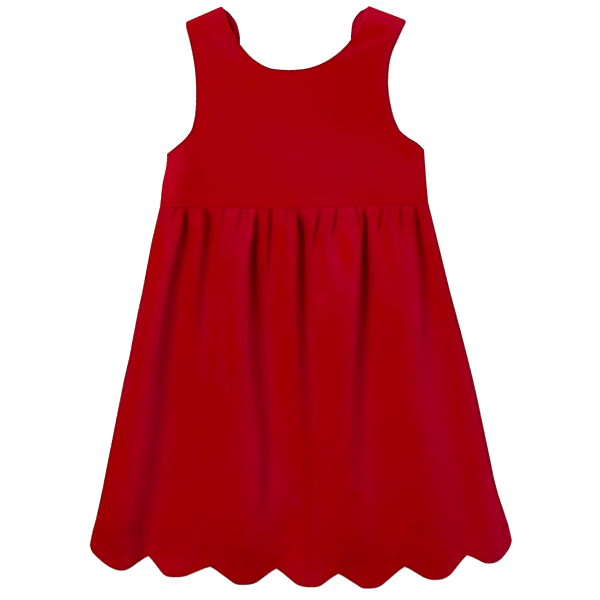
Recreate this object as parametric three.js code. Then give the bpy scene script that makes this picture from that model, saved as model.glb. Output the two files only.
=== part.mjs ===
// A toddler's sleeveless velvet party dress, laid flat on its back, its straps folded over at the shoulders.
// Millimetres, +Z up. The dress lies on the plane z = 0 with its front facing up, its shoulders towards +Y and
// its hem towards -Y. The origin is under the middle of the laid-out dress.
// It has a front and a back bodice with the straps cut in one, and a front and a back skirt that are gathered
// into the waist seam and end in a scalloped hem. Every panel is a wall of cloth worked out on a grid.
import * as THREE from "three";

const { lerp, smoothstep } = THREE.MathUtils;

// Cloth and seams
const BODICE_CLOTH = 2; // velvet, faced with the same velvet
const SKIRT_CLOTH = 1.4; // one layer of velvet
const MOST_SLANT = 1.5; // a steep wall is at most this much thicker, measured straight down
const SEAM_GAP = 0.4;
const SIDE_EDGE = 6.6; // how thick the dress is at its folded side edges
const SHOULDER_EDGE = 7.8; // how thick a strap is at its fold
const SIDE_ROLL = (SIDE_EDGE - SEAM_GAP) / 2; // outer radius of the cloth as it turns over
const SHOULDER_ROLL = (SHOULDER_EDGE - SEAM_GAP) / 2;
const ROLL_STEPS = 3; // grid steps in each quarter turn

// Height of the front bodice's outer face above the floor
const BODICE_TOP = 4.75;
const SEAM_LIFT = { height: 0.45, reach: 14 }; // it rides up over the bulk of the waist seam
const RIPPLE = 0.25; // how far it is from dead flat
const BODICE_SOFTNESS = 34; // how far in from a folded side it takes to lie down
const SHOULDER_SOFTNESS = 58; // the same from the shoulder fold
const SKIRT_SOFTNESS = 20; // and for the skirt from its folded sides

// Outlines, as the dress lies. The side, armhole and neck tables all run upwards, and each armhole starts
// where its side ends.
const CENTRE_X = -8; // the middle of the bodice
const WAIST_SEAM = [
  { x: -140.9, y: 89.4 },
  { x: CENTRE_X, y: 87.8 },
  { x: 127.5, y: 93 },
];
const LEFT_SIDE = [
  { x: -140.9, y: 89.4 },
  { x: -138.3, y: 113 },
  { x: -134.2, y: 134 },
  { x: -133.8, y: 143 },
];
const LEFT_ARMHOLE = [
  { x: -133.8, y: 143 },
  { x: -122.8, y: 151.6 },
  { x: -115.5, y: 158.3 },
  { x: -109.7, y: 166.2 },
  { x: -106.7, y: 177 },
  { x: -104.8, y: 203 },
  { x: -106.2, y: 229 },
  { x: -110.4, y: 252 },
  { x: -116.2, y: 274.1 },
];
const RIGHT_SIDE = [
  { x: 127.5, y: 93 },
  { x: 125.8, y: 112 },
  { x: 123.2, y: 147.4 },
];
const RIGHT_ARMHOLE = [
  { x: 123.2, y: 147.4 },
  { x: 116, y: 154 },
  { x: 108.8, y: 158.3 },
  { x: 99.3, y: 166.2 },
  { x: 95.4, y: 173.5 },
  { x: 89.5, y: 194 },
  { x: 87.4, y: 216 },
  { x: 91.8, y: 245 },
  { x: 96.2, y: 255 },
  { x: 106, y: 276.2 },
];
const LEFT_FRONT_NECK = [
  { x: -11.5, y: 226.7 },
  { x: -18, y: 227 },
  { x: -30, y: 228.4 },
  { x: -45, y: 236 },
  { x: -60, y: 251.6 },
  { x: -69.6, y: 267 },
  { x: -78.3, y: 290.6 },
];
const RIGHT_FRONT_NECK = [
  { x: -11.5, y: 226.7 },
  { x: -5, y: 227 },
  { x: 9, y: 229 },
  { x: 27, y: 236.6 },
  { x: 44, y: 250 },
  { x: 56.4, y: 267 },
  { x: 66.8, y: 291 },
];
// The back neck is cut lower than the front one, and its straps bow in towards the neck.
const LEFT_BACK_NECK = [
  { x: -7, y: 170 },
  { x: -13, y: 170.4 },
  { x: -22, y: 172.5 },
  { x: -40, y: 184 },
  { x: -54, y: 207 },
  { x: -60.5, y: 240 },
  { x: -61.2, y: 264 },
  { x: -64.2, y: 274.3 },
  { x: -70, y: 282.4 },
  { x: -78.3, y: 290.6 },
];
const RIGHT_BACK_NECK = [
  { x: -7, y: 170 },
  { x: -1, y: 170.4 },
  { x: 8, y: 172.5 },
  { x: 27, y: 184 },
  { x: 42.4, y: 207 },
  { x: 49.3, y: 240 },
  { x: 50, y: 264 },
  { x: 51.8, y: 275.4 },
  { x: 57.3, y: 283.6 },
  { x: 66.8, y: 291 },
];

// How far the two sides of the skirt swing out from straight lines, at shares of the way from the waist to
// the hem.
const SIDE_SWING = [
  { share: 0, left: 0, right: 0 },
  { share: 0.1, left: 1, right: 0 },
  { share: 0.26, left: 0, right: -0.2 },
  { share: 0.31, left: 0.25, right: 0.2 },
  { share: 0.38, left: -0.1, right: 0.7 },
  { share: 0.44, left: -0.6, right: 0.9 },
  { share: 0.51, left: 0, right: 1 },
  { share: 0.58, left: -0.1, right: 0.6 },
  { share: 0.7, left: -0.6, right: -0.9 },
  { share: 0.77, left: -0.8, right: -1.8 },
  { share: 0.82, left: -1, right: -2.6 },
  { share: 0.87, left: -1.1, right: -2.4 },
  { share: 0.935, left: -0.7, right: -0.4 },
  { share: 0.965, left: 0.2, right: 0.3 },
  { share: 1, left: 0, right: 0 },
];

// The hem, as places [x, y], from its left corner through one row for each scallop. A straight flank falls to
// left, a round bottom goes through low to right, and a straight flank rises to the notch or the side fold
// at end.
const HEM_LEFT = [-210.6, -252.3];
const CORNER_ROUND = 5; // radius at the two corners
const NOTCH_ROUND = { depth: 0.8, half: 3 };
const SCALLOPS = [
  { left: [-203.6, -259.1], low: [-178.5, -273], right: [-168, -269.1], end: [-151.9, -257.6] },
  { left: [-140, -273.5], low: [-125, -279.5], right: [-112, -277.4], end: [-90.2, -268.3] },
  { left: [-68.2, -284.7], low: [-59.2, -287.3], right: [-41, -282.8], end: [-24.2, -270.2] },
  { left: [-8.3, -283.8], low: [8.7, -289.6], right: [22, -286.7], end: [37.4, -275.3] },
  { left: [59, -289.5], low: [65.8, -290.9], right: [83, -285.9], end: [103.4, -268.3] },
  { left: [119.5, -278.1], low: [133, -282.3], right: [152.5, -273.6], end: [165.6, -256.8] },
  { left: [181.8, -264.9], low: [188.3, -265.8], right: [203.3, -257.2], end: [210.6, -247.6] },
];
const SKIRT_LENGTH = 368; // from the waist seam to the hem, on average
const BACK_HEM_RISE = 1.6; // the back hem lies this much shorter, out of sight

// Loft of the front skirt at distances down from the waist seam. floor: the outer face where a fold reaches
// down to the back skirt; crest: the outer face between the folds.
const LOFT = [
  { down: 0, floor: 4.6, crest: 5.1 },
  { down: 4, floor: 4.6, crest: 7.6 },
  { down: 10, floor: 4.7, crest: 9.8 },
  { down: 20, floor: 4.7, crest: 11.4 },
  { down: 60, floor: 4.3, crest: 12 },
  { down: 120, floor: 3.8, crest: 10.1 },
  { down: 200, floor: 3.4, crest: 8 },
  { down: 300, floor: 3.25, crest: 6.6 },
  { down: 380, floor: 3.25, crest: 5.4 },
];

// Long folds of the front skirt, with a value at each of these distances down.
// x: centre line. cut: share of the loft that the fold takes away. left and right: its reach to either side.
const FOLD_STATIONS = [0, 60, 150, 330];
const LONG_FOLDS = [
  { x: [-113.8, -121.5, -135, -160.5], cut: [1, 0.95, 0.85, 0.65], left: [4, 8, 13, 17], right: [5, 9, 12, 14] },
  { x: [-94.5, -95.6, -100, -106], cut: [0.8, 0.65, 0.15, 0], left: [4, 6, 8, 10], right: [5, 7, 9, 12] },
  { x: [-43.6, -47, -42.4, -34.5], cut: [0.9, 1, 0.8, 0.5], left: [3.5, 6, 12, 16], right: [5, 9, 13, 16] },
  { x: [-2.4, 1.2, 4, 12], cut: [1, 1, 0.65, 0.1], left: [4, 6, 9, 12], right: [6.5, 7.5, 8, 12] },
  { x: [64.2, 64.4, 61, 56], cut: [1, 1, 0.75, 0.25], left: [3.5, 6, 11, 15], right: [4, 8, 11, 14] },
  { x: [115.2, 123.5, 130, 153], cut: [0.9, 0.8, 0.5, 0.4], left: [4, 7, 13, 18], right: [6, 8, 13, 18] },
];
// Short gathers between them. x: at the seam; half: half width; reach: where it has faded away.
const SHORT_GATHERS = [
  { x: -126, cut: 0.4, half: 4.2, reach: 26 },
  { x: -104, cut: 0.35, half: 4, reach: 22 },
  { x: -85, cut: 0.4, half: 4, reach: 24 },
  { x: -76, cut: 0.35, half: 4.2, reach: 20 },
  { x: -68, cut: 0.3, half: 4, reach: 22 },
  { x: -59.5, cut: 0.6, half: 3.8, reach: 36 },
  { x: -52, cut: 0.45, half: 3.4, reach: 22 },
  { x: -29.5, cut: 0.7, half: 4.2, reach: 80 },
  { x: -21, cut: 0.35, half: 4, reach: 20 },
  { x: -13, cut: 0.5, half: 3.8, reach: 22 },
  { x: 9, cut: 0.35, half: 3.8, reach: 26 },
  { x: 19.5, cut: 0.65, half: 4.2, reach: 74 },
  { x: 28, cut: 0.35, half: 3.8, reach: 20 },
  { x: 36, cut: 0.6, half: 3.8, reach: 48 },
  { x: 46, cut: 0.35, half: 4, reach: 24 },
  { x: 56.5, cut: 0.5, half: 3.6, reach: 28 },
  { x: 73, cut: 0.35, half: 3.8, reach: 22 },
  { x: 80.5, cut: 0.55, half: 3.8, reach: 44 },
  { x: 89, cut: 0.5, half: 4, reach: 48 },
  { x: 99.7, cut: 0.6, half: 4, reach: 46 },
  { x: 106.5, cut: 0.3, half: 3.4, reach: 20 },
  { x: 121, cut: 0.35, half: 3.4, reach: 24 },
];
const FAN = { centre: -6, rate: 0.0015 }; // the gathers spread from this line by this share a millimetre

// Gathers of the back skirt: shallow hollows that rise off the floor below the waist seam
const BACK_GATHERS = { count: 24, rise: 0.9, reach: 110, uneven: 0.35 };

// Grid of each panel
const NEAR_WAIST_ROWS = [0, 0.012, 0.03, 0.056, 0.09, 0.13, 0.18, 0.24, 0.31, 0.39];
const SKIRT_ROWS = [...NEAR_WAIST_ROWS, 0.48, 0.57, 0.66, 0.75, 0.84, 0.92, 1];
const WIDEST_COLUMN = 7; // at the front hem
const BACK_SKIRT_ROWS = [0, 0.05, 0.12, 0.2, 0.32, 0.52, 0.72, 0.86, 1];
const BODICE_COLUMNS = 8; // in each half
const SIDE_ROWS = 4; // from the waist to the underarm
const UNDERARM_ROWS = 4; // from there to the row that runs to the lowest point of the neckline
const STRAP_ROWS = 12; // from that row to the shoulder fold
const UNDERARM_SHARE = 0.24; // share of the armhole that the underarm rows take
const UNROLL = 16; // the side fold opens out over this length of the armhole
const BACK_ARMHOLE_INSET = 0.8; // the back armholes are cut this much further in, out of sight

// The value of one column of a table at a distance, in a straight line between its rows.
function fromTable(rows, key, column, at) {
  const next = rows.findIndex((row) => row[key] >= at);
  if (next === 0) return rows[0][column];
  if (next < 0) return rows.at(-1)[column];
  const [before, after] = [rows[next - 1], rows[next]];
  return lerp(before[column], after[column], (at - before[key]) / (after[key] - before[key]));
}

// A value that is given at each of the fold stations.
function atStations(values, down) {
  const rows = FOLD_STATIONS.map((station, i) => ({ station, value: values[i] }));
  return fromTable(rows, "station", "value", down);
}

// A smooth plan curve through a table's points.
function curveThrough(points) {
  const corners = points.map(({ x, y }) => new THREE.Vector3(x, y, 0));
  return new THREE.CatmullRomCurve3(corners, false, "centripetal");
}

// Height on the plan of the waist seam at a place across the dress.
function seamY(x) {
  return fromTable(WAIST_SEAM, "x", "y", x);
}

// Height on the plan of a smooth line from one place to another, with its slopes at the two.
function slopedLine(x, from, to, slopeFrom, slopeTo) {
  const run = to[0] - from[0];
  const t = (x - from[0]) / run;
  return lerp(from[1], to[1], t * t * (3 - 2 * t)) + run * t * (1 - t) * (slopeFrom * (1 - t) - slopeTo * t);
}

// Height on the plan of the hem, with its notches and its two corners rounded.
function hemY(x) {
  const index = SCALLOPS.findIndex(({ end }) => x <= end[0] + 1e-6);
  const { left, low, right, end } = SCALLOPS[index];
  const start = index > 0 ? SCALLOPS[index - 1].end : HEM_LEFT;
  const falling = (left[1] - start[1]) / (left[0] - start[0]);
  const rising = (end[1] - right[1]) / (end[0] - right[0]);
  const pieces = [
    [start, left, falling, falling],
    [left, low, falling, 0],
    [low, right, 0, rising],
    [right, end, rising, rising],
  ];
  let y = slopedLine(x, ...pieces.find(([, to]) => x <= to[0] + 1e-6));
  for (const notch of SCALLOPS.slice(0, -1)) {
    y -= NOTCH_ROUND.depth * Math.exp(-(((x - notch.end[0]) / NOTCH_ROUND.half) ** 2));
  }
  const fromCorner = Math.max(0, Math.min(x - HEM_LEFT[0], SCALLOPS.at(-1).end[0] - x));
  const short = Math.max(0, CORNER_ROUND - fromCorner);
  return y + CORNER_ROUND - Math.sqrt(CORNER_ROUND ** 2 - short ** 2);
}

// The skirt's two sides, at a share of the way from the waist to the hem.
function skirtSides(share) {
  const swing = (side) => fromTable(SIDE_SWING, "share", side, share);
  return {
    left: lerp(WAIST_SEAM[0].x, HEM_LEFT[0], share) - swing("left"),
    right: lerp(WAIST_SEAM.at(-1).x, SCALLOPS.at(-1).end[0], share) + swing("right"),
  };
}

// How much of the loft a fold takes away at a distance to one side of its centre: all at 0, nothing from 1.
function foldShape(share) {
  return share >= 1 ? 0 : (1 - share) ** 2 * (1 + 2 * share);
}

// Height of the front skirt's outer face.
function skirtTop(x, y, fromSide) {
  const down = Math.max(0, seamY(x) - y);
  const floor = fromTable(LOFT, "down", "floor", down);
  const crest = fromTable(LOFT, "down", "crest", down);
  let left = 1;
  for (const fold of LONG_FOLDS) {
    const offset = x - atStations(fold.x, down);
    const reach = atStations(offset < 0 ? fold.left : fold.right, down);
    left *= 1 - atStations(fold.cut, down) * foldShape(Math.abs(offset) / reach);
  }
  for (const gather of SHORT_GATHERS) {
    const centre = gather.x + (gather.x - FAN.centre) * FAN.rate * down;
    const cut = gather.cut * (1 - smoothstep(down, 0, gather.reach));
    left *= 1 - cut * foldShape(Math.abs(x - centre) / gather.half);
  }
  return lerp(SIDE_EDGE, floor + (crest - floor) * left, smoothstep(fromSide, 0, SKIRT_SOFTNESS));
}

// Height of the back skirt's outer face, which lies on the floor except in its gathers.
function backSkirtTop(x, y, fromSide) {
  const down = Math.max(0, seamY(x) - y);
  const { left, right } = skirtSides(down / SKIRT_LENGTH);
  const across = ((x - left) / (right - left)) * BACK_GATHERS.count;
  const size = 1 - BACK_GATHERS.uneven * (1 + Math.sin(across * 1.9));
  const fade = 1 - smoothstep(down, 0, BACK_GATHERS.reach);
  const wave = 0.5 - 0.5 * Math.cos(2 * Math.PI * across);
  return BACK_GATHERS.rise * size * fade * wave * smoothstep(fromSide, 0, SKIRT_SOFTNESS);
}

// Height of the front bodice's outer face.
function bodiceTop(x, y, fromSide, fromShoulder) {
  const overSeam = SEAM_LIFT.height * (1 - smoothstep(y - seamY(x), 0, SEAM_LIFT.reach));
  const ripple = RIPPLE * Math.sin(x / 31 + y / 47) * Math.sin(y / 38 - x / 90);
  const flat = BODICE_TOP + overSeam + ripple;
  const beside = lerp(SIDE_EDGE, flat, smoothstep(fromSide, 0, BODICE_SOFTNESS));
  return lerp(SHOULDER_EDGE, beside, smoothstep(fromShoulder, 0, SHOULDER_SOFTNESS));
}

// One point of a wall: its outer and inner place. plan is where the flat cloth ends and the roll begins,
// heading the plan direction of the roll, along the length of cloth past plan, and bend 1 for a full fold and 0
// for none. The cloth turns no further down or up than deepest, which is half way to the other panel.
function wallPoint({ plan, heading, height, up, cloth, ...turned }) {
  const { radius = SIDE_ROLL, along = 0, bend = 1, deepest = Infinity } = turned;
  const round = radius / Math.max(bend, 1e-4);
  const turn = along / round;
  const place = (r, start) => {
    const out = r * Math.sin(turn);
    const drop = Math.min(start + r * (1 - Math.cos(turn)), deepest);
    return new THREE.Vector3(plan.x + heading.x * out, plan.y + heading.y * out, height - up * drop);
  };
  return { outer: place(round, 0), inner: place(round - cloth, cloth) };
}

// How much thicker a slanting wall is when it is measured straight down.
function slantOf(top, x, y) {
  const step = 0.5;
  const slopeX = (top(x + step, y) - top(x - step, y)) / (2 * step);
  const slopeY = (top(x, y + step) - top(x, y - step)) / (2 * step);
  return Math.min(MOST_SLANT, Math.hypot(1, slopeX, slopeY));
}

// Closes a grid of cloth into a solid wall: outer face, inner face, and a rim along every open edge.
function wallGeometry(points, quads) {
  const count = points.length;
  const triangles = [];
  const rim = new Map();
  for (const quad of quads) {
    const [a, b, c, d] = quad;
    triangles.push(a, b, c, a, c, d);
    triangles.push(count + a, count + c, count + b, count + a, count + d, count + c);
    quad.forEach((from, i) => {
      const to = quad[(i + 1) % 4];
      if (!rim.delete(`${to} ${from}`)) rim.set(`${from} ${to}`, [from, to]);
    });
  }
  for (const [from, to] of rim.values()) {
    triangles.push(to, from, count + from, to, count + from, count + to);
  }
  const places = [...points.map((point) => point.outer), ...points.map((point) => point.inner)];
  const geometry = new THREE.BufferGeometry().setFromPoints(places);
  geometry.setIndex(triangles);
  geometry.computeVertexNormals();
  return geometry;
}

// Quads between the rows of a grid of point numbers. turned is for rows that run the other way about.
function quadsOf(rows, turned) {
  const quads = [];
  rows.slice(1).forEach((row, r) => {
    for (let c = 0; c + 1 < row.length; c += 1) {
      const quad = [rows[r][c], rows[r][c + 1], row[c + 1], row[c]];
      quads.push(turned ? quad.reverse() : quad);
    }
  });
  return quads;
}

// Moves places across the hem sideways a little, so that one of them falls on each notch.
function notchAligned(places) {
  const notches = [HEM_LEFT[0], ...SCALLOPS.map((lobe) => lobe.end[0])];
  const rows = notches.map((notch) => {
    const nearest = places.reduce((best, x) => (Math.abs(x - notch) < Math.abs(best - notch) ? x : best));
    return { from: nearest, to: notch };
  });
  return places.map((x) => fromTable(rows, "from", "to", x));
}

// A skirt panel. columnX gives a column's place across the dress at a share of the way down; up is 1 for the
// front and -1 for the back. A quarter turn of cloth runs down each side.
function skirtPanel({ waistX, columnX, rows, rise, up, top }) {
  const atHem = waistX.map((x) => columnX(x, 1));
  const aligned = notchAligned(atHem);
  const sideHeight = up > 0 ? SIDE_EDGE : 0;
  const last = waistX.length - 1;
  const points = [];
  const grid = rows.map((share) => {
    const placeY = (waist, hem) => lerp(seamY(waist) - SEAM_GAP / 2, hemY(hem) + rise, share);
    const place = (c) => ({
      x: columnX(waistX[c], share) + (aligned[c] - atHem[c]) * smoothstep(share, 0.7, 1),
      y: placeY(waistX[c], aligned[c]),
    });
    const line = [];
    const push = (point) => line.push(points.push(wallPoint({ cloth: SKIRT_CLOTH, up, ...point })) - 1);
    const roll = (c, out, k) => {
      const turn = ((Math.PI / 2) * k) / ROLL_STEPS;
      const inwards = -out * SIDE_ROLL * (1 - Math.sin(turn));
      const y = placeY(waistX[c] + inwards, aligned[c] + inwards);
      const plan = { x: place(c).x - out * SIDE_ROLL, y };
      push({ plan, heading: { x: out, y: 0 }, height: sideHeight, along: SIDE_ROLL * turn });
    };
    for (let k = ROLL_STEPS; k >= 0; k -= 1) roll(0, -1, k);
    for (let c = 1; c < last; c += 1) {
      const plan = place(c);
      const fromSide = Math.min(plan.x - place(0).x, place(last).x - plan.x) - SIDE_ROLL;
      const here = (x, y) => top(x, y, fromSide);
      const cloth = SKIRT_CLOTH * slantOf(here, plan.x, plan.y);
      push({ plan, heading: { x: -1, y: 0 }, height: here(plan.x, plan.y), cloth });
    }
    for (let k = 0; k <= ROLL_STEPS; k += 1) roll(last, 1, k);
    return line;
  });
  return wallGeometry(points, quadsOf(grid, up > 0));
}

// The front skirt has a column down each fold and gather and more between them, which follow the long folds.
function frontSkirt() {
  const starts = [...LONG_FOLDS.map((fold) => fold.x[0]), ...SHORT_GATHERS.map((gather) => gather.x)];
  const stops = [WAIST_SEAM[0].x, ...starts.sort((a, b) => a - b), WAIST_SEAM.at(-1).x];
  const columnX = (x, share) => {
    const { left, right } = skirtSides(share);
    const folds = LONG_FOLDS.map((fold) => ({ from: fold.x[0], to: atStations(fold.x, share * SKIRT_LENGTH) }));
    const rows = [{ from: stops[0], to: left }, ...folds, { from: stops.at(-1), to: right }];
    return fromTable(rows, "from", "to", x);
  };
  const waistX = stops.slice(1).flatMap((stop, i) => {
    const steps = Math.max(2, Math.ceil((columnX(stop, 1) - columnX(stops[i], 1)) / WIDEST_COLUMN));
    return Array.from({ length: steps }, (_, k) => lerp(stops[i], stop, k / steps));
  });
  waistX.push(stops.at(-1));
  return skirtPanel({ waistX, columnX, rows: SKIRT_ROWS, rise: 0, up: 1, top: skirtTop });
}

// The back skirt has two columns to each gather, evenly spread.
function backSkirt() {
  const count = BACK_GATHERS.count * 2;
  const [first, last] = [WAIST_SEAM[0].x, WAIST_SEAM.at(-1).x];
  const waistX = Array.from({ length: count + 1 }, (_, c) => lerp(first, last, c / count));
  const columnX = (x, share) => {
    const { left, right } = skirtSides(share);
    return lerp(left, right, (x - first) / (last - first));
  };
  return skirtPanel({ waistX, columnX, rows: BACK_SKIRT_ROWS, rise: BACK_HEM_RISE, up: -1, top: backSkirtTop });
}

// Rows of one half of a bodice, from the waist up: where each starts on the outer edge and ends on the centre
// line or the neckline, and how far along the armhole it is.
function bodiceRows({ side, armhole, neck }) {
  const sideCurve = curveThrough(side);
  const armholeCurve = curveThrough(armhole);
  const neckCurve = curveThrough(neck);
  const waist = new THREE.Vector3(CENTRE_X, seamY(CENTRE_X) + SEAM_GAP / 2, 0);
  const neckFoot = neckCurve.getPointAt(0);
  const centreRows = SIDE_ROWS + UNDERARM_ROWS;
  const rows = [];
  for (let r = 0; r <= centreRows; r += 1) {
    const onSide = r <= SIDE_ROWS;
    const share = onSide ? r / SIDE_ROWS : ((r - SIDE_ROWS) / UNDERARM_ROWS) * UNDERARM_SHARE;
    const edge = (onSide ? sideCurve : armholeCurve).getPointAt(share);
    if (r === 0) edge.y += SEAM_GAP / 2;
    const past = onSide ? 0 : share * armholeCurve.getLength();
    rows.push({ edge, inner: waist.clone().lerp(neckFoot, r / centreRows), past });
  }
  for (let r = 1; r <= STRAP_ROWS; r += 1) {
    const share = lerp(UNDERARM_SHARE, 1, r / STRAP_ROWS);
    const past = share * armholeCurve.getLength();
    rows.push({ edge: armholeCurve.getPointAt(share), inner: neckCurve.getPointAt(r / STRAP_ROWS), past });
  }
  return rows;
}

// One half of a bodice as a grid of wall points, outer edge first. up is 1 for the front and -1 for the back.
function bodiceHalf(outline, up, armholeInset) {
  const rows = bodiceRows(outline);
  const shoulder = new THREE.Line3(rows.at(-1).edge, rows.at(-1).inner);
  const nearest = new THREE.Vector3();
  const at = (plan, fromSide) => {
    shoulder.closestPointToPoint(plan, true, nearest);
    const fromShoulder = Math.max(0, plan.distanceTo(nearest) - SHOULDER_ROLL);
    const front = bodiceTop(plan.x, plan.y, fromSide, fromShoulder);
    return { plan, height: up > 0 ? front : 0, deepest: (front - SEAM_GAP) / 2 };
  };
  const quarter = (SIDE_ROLL * Math.PI) / 2;
  const grid = rows.map(({ edge, inner, past }) => {
    const bend = 1 - smoothstep(past, 0, UNROLL);
    const inwards = inner.clone().sub(edge).normalize();
    const heading = inwards.clone().negate();
    const start = edge.clone().addScaledVector(inwards, armholeInset * (1 - bend));
    const inset = bend > 0.001 ? (SIDE_ROLL / bend) * Math.sin((bend * Math.PI) / 2) : quarter;
    const turning = start.clone().addScaledVector(inwards, inset);
    const common = { heading, up, cloth: BODICE_CLOTH, bend };
    const roll = Array.from({ length: ROLL_STEPS }, (_, k) => {
      const along = quarter * (1 - k / ROLL_STEPS);
      return wallPoint({ ...common, ...at(turning, past), along });
    });
    const flat = Array.from({ length: BODICE_COLUMNS + 1 }, (_, c) => {
      const plan = turning.clone().lerp(inner, c / BODICE_COLUMNS);
      return wallPoint({ ...common, ...at(plan, past + plan.distanceTo(turning)) });
    });
    return [...roll, ...flat];
  });
  return foldAtShoulder(grid, up);
}

// Replaces the last row of a strap with the quarter turn that takes it over the shoulder.
function foldAtShoulder(grid, up) {
  const edge = grid.at(-1);
  const before = grid.at(-2);
  const quarter = (SHOULDER_ROLL * Math.PI) / 2;
  const height = up > 0 ? SHOULDER_EDGE : 0;
  const turned = Array.from({ length: ROLL_STEPS + 1 }, (_, k) =>
    edge.map(({ outer }, c) => {
      const heading = new THREE.Vector3().subVectors(outer, before[c].outer).setZ(0).normalize();
      const plan = outer.clone().addScaledVector(heading, -SHOULDER_ROLL);
      const along = (quarter * k) / ROLL_STEPS;
      return wallPoint({ plan, heading, height, up, cloth: BODICE_CLOTH, radius: SHOULDER_ROLL, along });
    }),
  );
  return [...grid.slice(0, -1), ...turned];
}

// Joins the two halves of a bodice along the centre line, up to the lowest point of the neckline.
function bodicePanel(left, right, up, armholeInset) {
  const points = [];
  const number = (point) => points.push(point) - 1;
  const leftRows = bodiceHalf(left, up, armholeInset).map((row) => row.map(number));
  const centreRows = SIDE_ROWS + UNDERARM_ROWS;
  const rightRows = bodiceHalf(right, up, armholeInset).map((row, r) => {
    const own = row.slice(0, -1).map(number);
    const shared = r <= centreRows ? leftRows[r].at(-1) : number(row.at(-1));
    return [...own, shared];
  });
  return wallGeometry(points, [...quadsOf(leftRows, up < 0), ...quadsOf(rightRows, up > 0)]);
}

function frontBodice() {
  const left = { side: LEFT_SIDE, armhole: LEFT_ARMHOLE, neck: LEFT_FRONT_NECK };
  const right = { side: RIGHT_SIDE, armhole: RIGHT_ARMHOLE, neck: RIGHT_FRONT_NECK };
  return bodicePanel(left, right, 1, 0);
}

function backBodice() {
  const left = { side: LEFT_SIDE, armhole: LEFT_ARMHOLE, neck: LEFT_BACK_NECK };
  const right = { side: RIGHT_SIDE, armhole: RIGHT_ARMHOLE, neck: RIGHT_BACK_NECK };
  return bodicePanel(left, right, -1, BACK_ARMHOLE_INSET);
}

// Deep red cotton velvet
function velvet() {
  return new THREE.MeshStandardMaterial({ color: 0x900006, roughness: 0.9, metalness: 0 });
}

const dress = new THREE.Group();
const panels = {
  front_bodice: frontBodice(),
  back_bodice: backBodice(),
  front_skirt: frontSkirt(),
  back_skirt: backSkirt(),
};
for (const [name, geometry] of Object.entries(panels)) {
  const panel = new THREE.Mesh(geometry, velvet());
  panel.name = name;
  dress.add(panel);
}

export default dress;
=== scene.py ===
# A toddler's sleeveless party dress in red cotton velvet, laid flat on its back and seen from straight above.
# Metres, +Z up, in the frame of the solids. Tables below are in millimetres on the plane of the laid-out
# dress, +Y towards the shoulders, because a dressmaker's pattern is.
import math

import bpy
import numpy as np
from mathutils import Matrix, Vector, noise


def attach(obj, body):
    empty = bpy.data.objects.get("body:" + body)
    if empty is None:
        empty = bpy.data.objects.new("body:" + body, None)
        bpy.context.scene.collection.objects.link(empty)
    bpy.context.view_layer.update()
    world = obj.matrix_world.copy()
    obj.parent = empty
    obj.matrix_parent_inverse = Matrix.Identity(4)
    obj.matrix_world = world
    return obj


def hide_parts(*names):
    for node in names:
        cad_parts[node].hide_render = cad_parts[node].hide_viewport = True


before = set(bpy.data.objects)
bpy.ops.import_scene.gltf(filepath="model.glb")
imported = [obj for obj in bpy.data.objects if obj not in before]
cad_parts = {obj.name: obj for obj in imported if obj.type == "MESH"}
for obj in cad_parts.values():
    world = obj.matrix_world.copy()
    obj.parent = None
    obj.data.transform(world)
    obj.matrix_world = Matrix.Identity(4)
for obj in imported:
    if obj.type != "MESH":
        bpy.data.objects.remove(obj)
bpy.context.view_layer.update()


# The table that the dress lies on and the light over it: a lit white acrylic table, which keeps the shadows
# round the cloth faint, a soft box low on the left beyond the shoulders, a wide one overhead and a bright
# room, and a long lens looking straight down.
CAMERA_HEIGHT = 2.0
FRAME_WIDTH = 0.5997
SENSOR = 36.0


def linear(hex_colour):
    """A colour written as sRGB hex, as Blender's linear RGBA."""
    channels = [int(hex_colour[i:i + 2], 16) / 255 for i in (1, 3, 5)]
    return [c / 12.92 if c <= 0.04045 else ((c + 0.055) / 1.055) ** 2.4 for c in channels] + [1.0]


def add_node(tree, kind, settings, links):
    """Adds a shader node with its settings (attributes or input values) and what its inputs are linked to."""
    node = tree.nodes.new(kind)
    for key, value in settings.items():
        if isinstance(key, str) and hasattr(node, key):
            setattr(node, key, value)
        else:
            node.inputs[key].default_value = value
    for key, source in links.items():
        tree.links.new(source, node.inputs[key])
    return node


bpy.ops.object.select_all(action="DESELECT")
bpy.ops.mesh.primitive_plane_add(size=6.0, location=(0, 0, -0.0006))
table_top = bpy.context.object
table_top.name = "table_top"
white_acrylic = bpy.data.materials.new("white_acrylic")
white_acrylic.use_nodes = True
white_acrylic.node_tree.nodes.clear()
acrylic = add_node(white_acrylic.node_tree, "ShaderNodeBsdfPrincipled",
                   {"Base Color": linear("#f4f4f4"), "Roughness": 0.9, "Specular IOR Level": 0.1,
                    "Emission Color": linear("#ffffff"), "Emission Strength": 0.75}, {})
add_node(white_acrylic.node_tree, "ShaderNodeOutputMaterial", {}, {"Surface": acrylic.outputs[0]})
table_top.data.materials.append(white_acrylic)

bpy.ops.object.camera_add(location=(-0.0008, -0.003, CAMERA_HEIGHT), rotation=(0, 0, 0))
camera = bpy.context.object
camera.name = "camera_overhead"
camera.data.sensor_width = SENSOR
camera.data.lens = SENSOR * CAMERA_HEIGHT / FRAME_WIDTH
camera.data.clip_end = 20
bpy.context.scene.camera = camera


def soft_light(name, place, size, power, colour):
    """A square soft box at a place, turned towards the middle of the dress."""
    bpy.ops.object.light_add(type="AREA", location=place)
    lamp = bpy.context.object
    lamp.name = name
    lamp.data.shape = "SQUARE"
    lamp.data.size = size
    lamp.data.energy = power
    lamp.data.color = colour
    lamp.rotation_euler = (Vector((0, 0, 0)) - Vector(place)).to_track_quat("-Z", "Y").to_euler()


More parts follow.
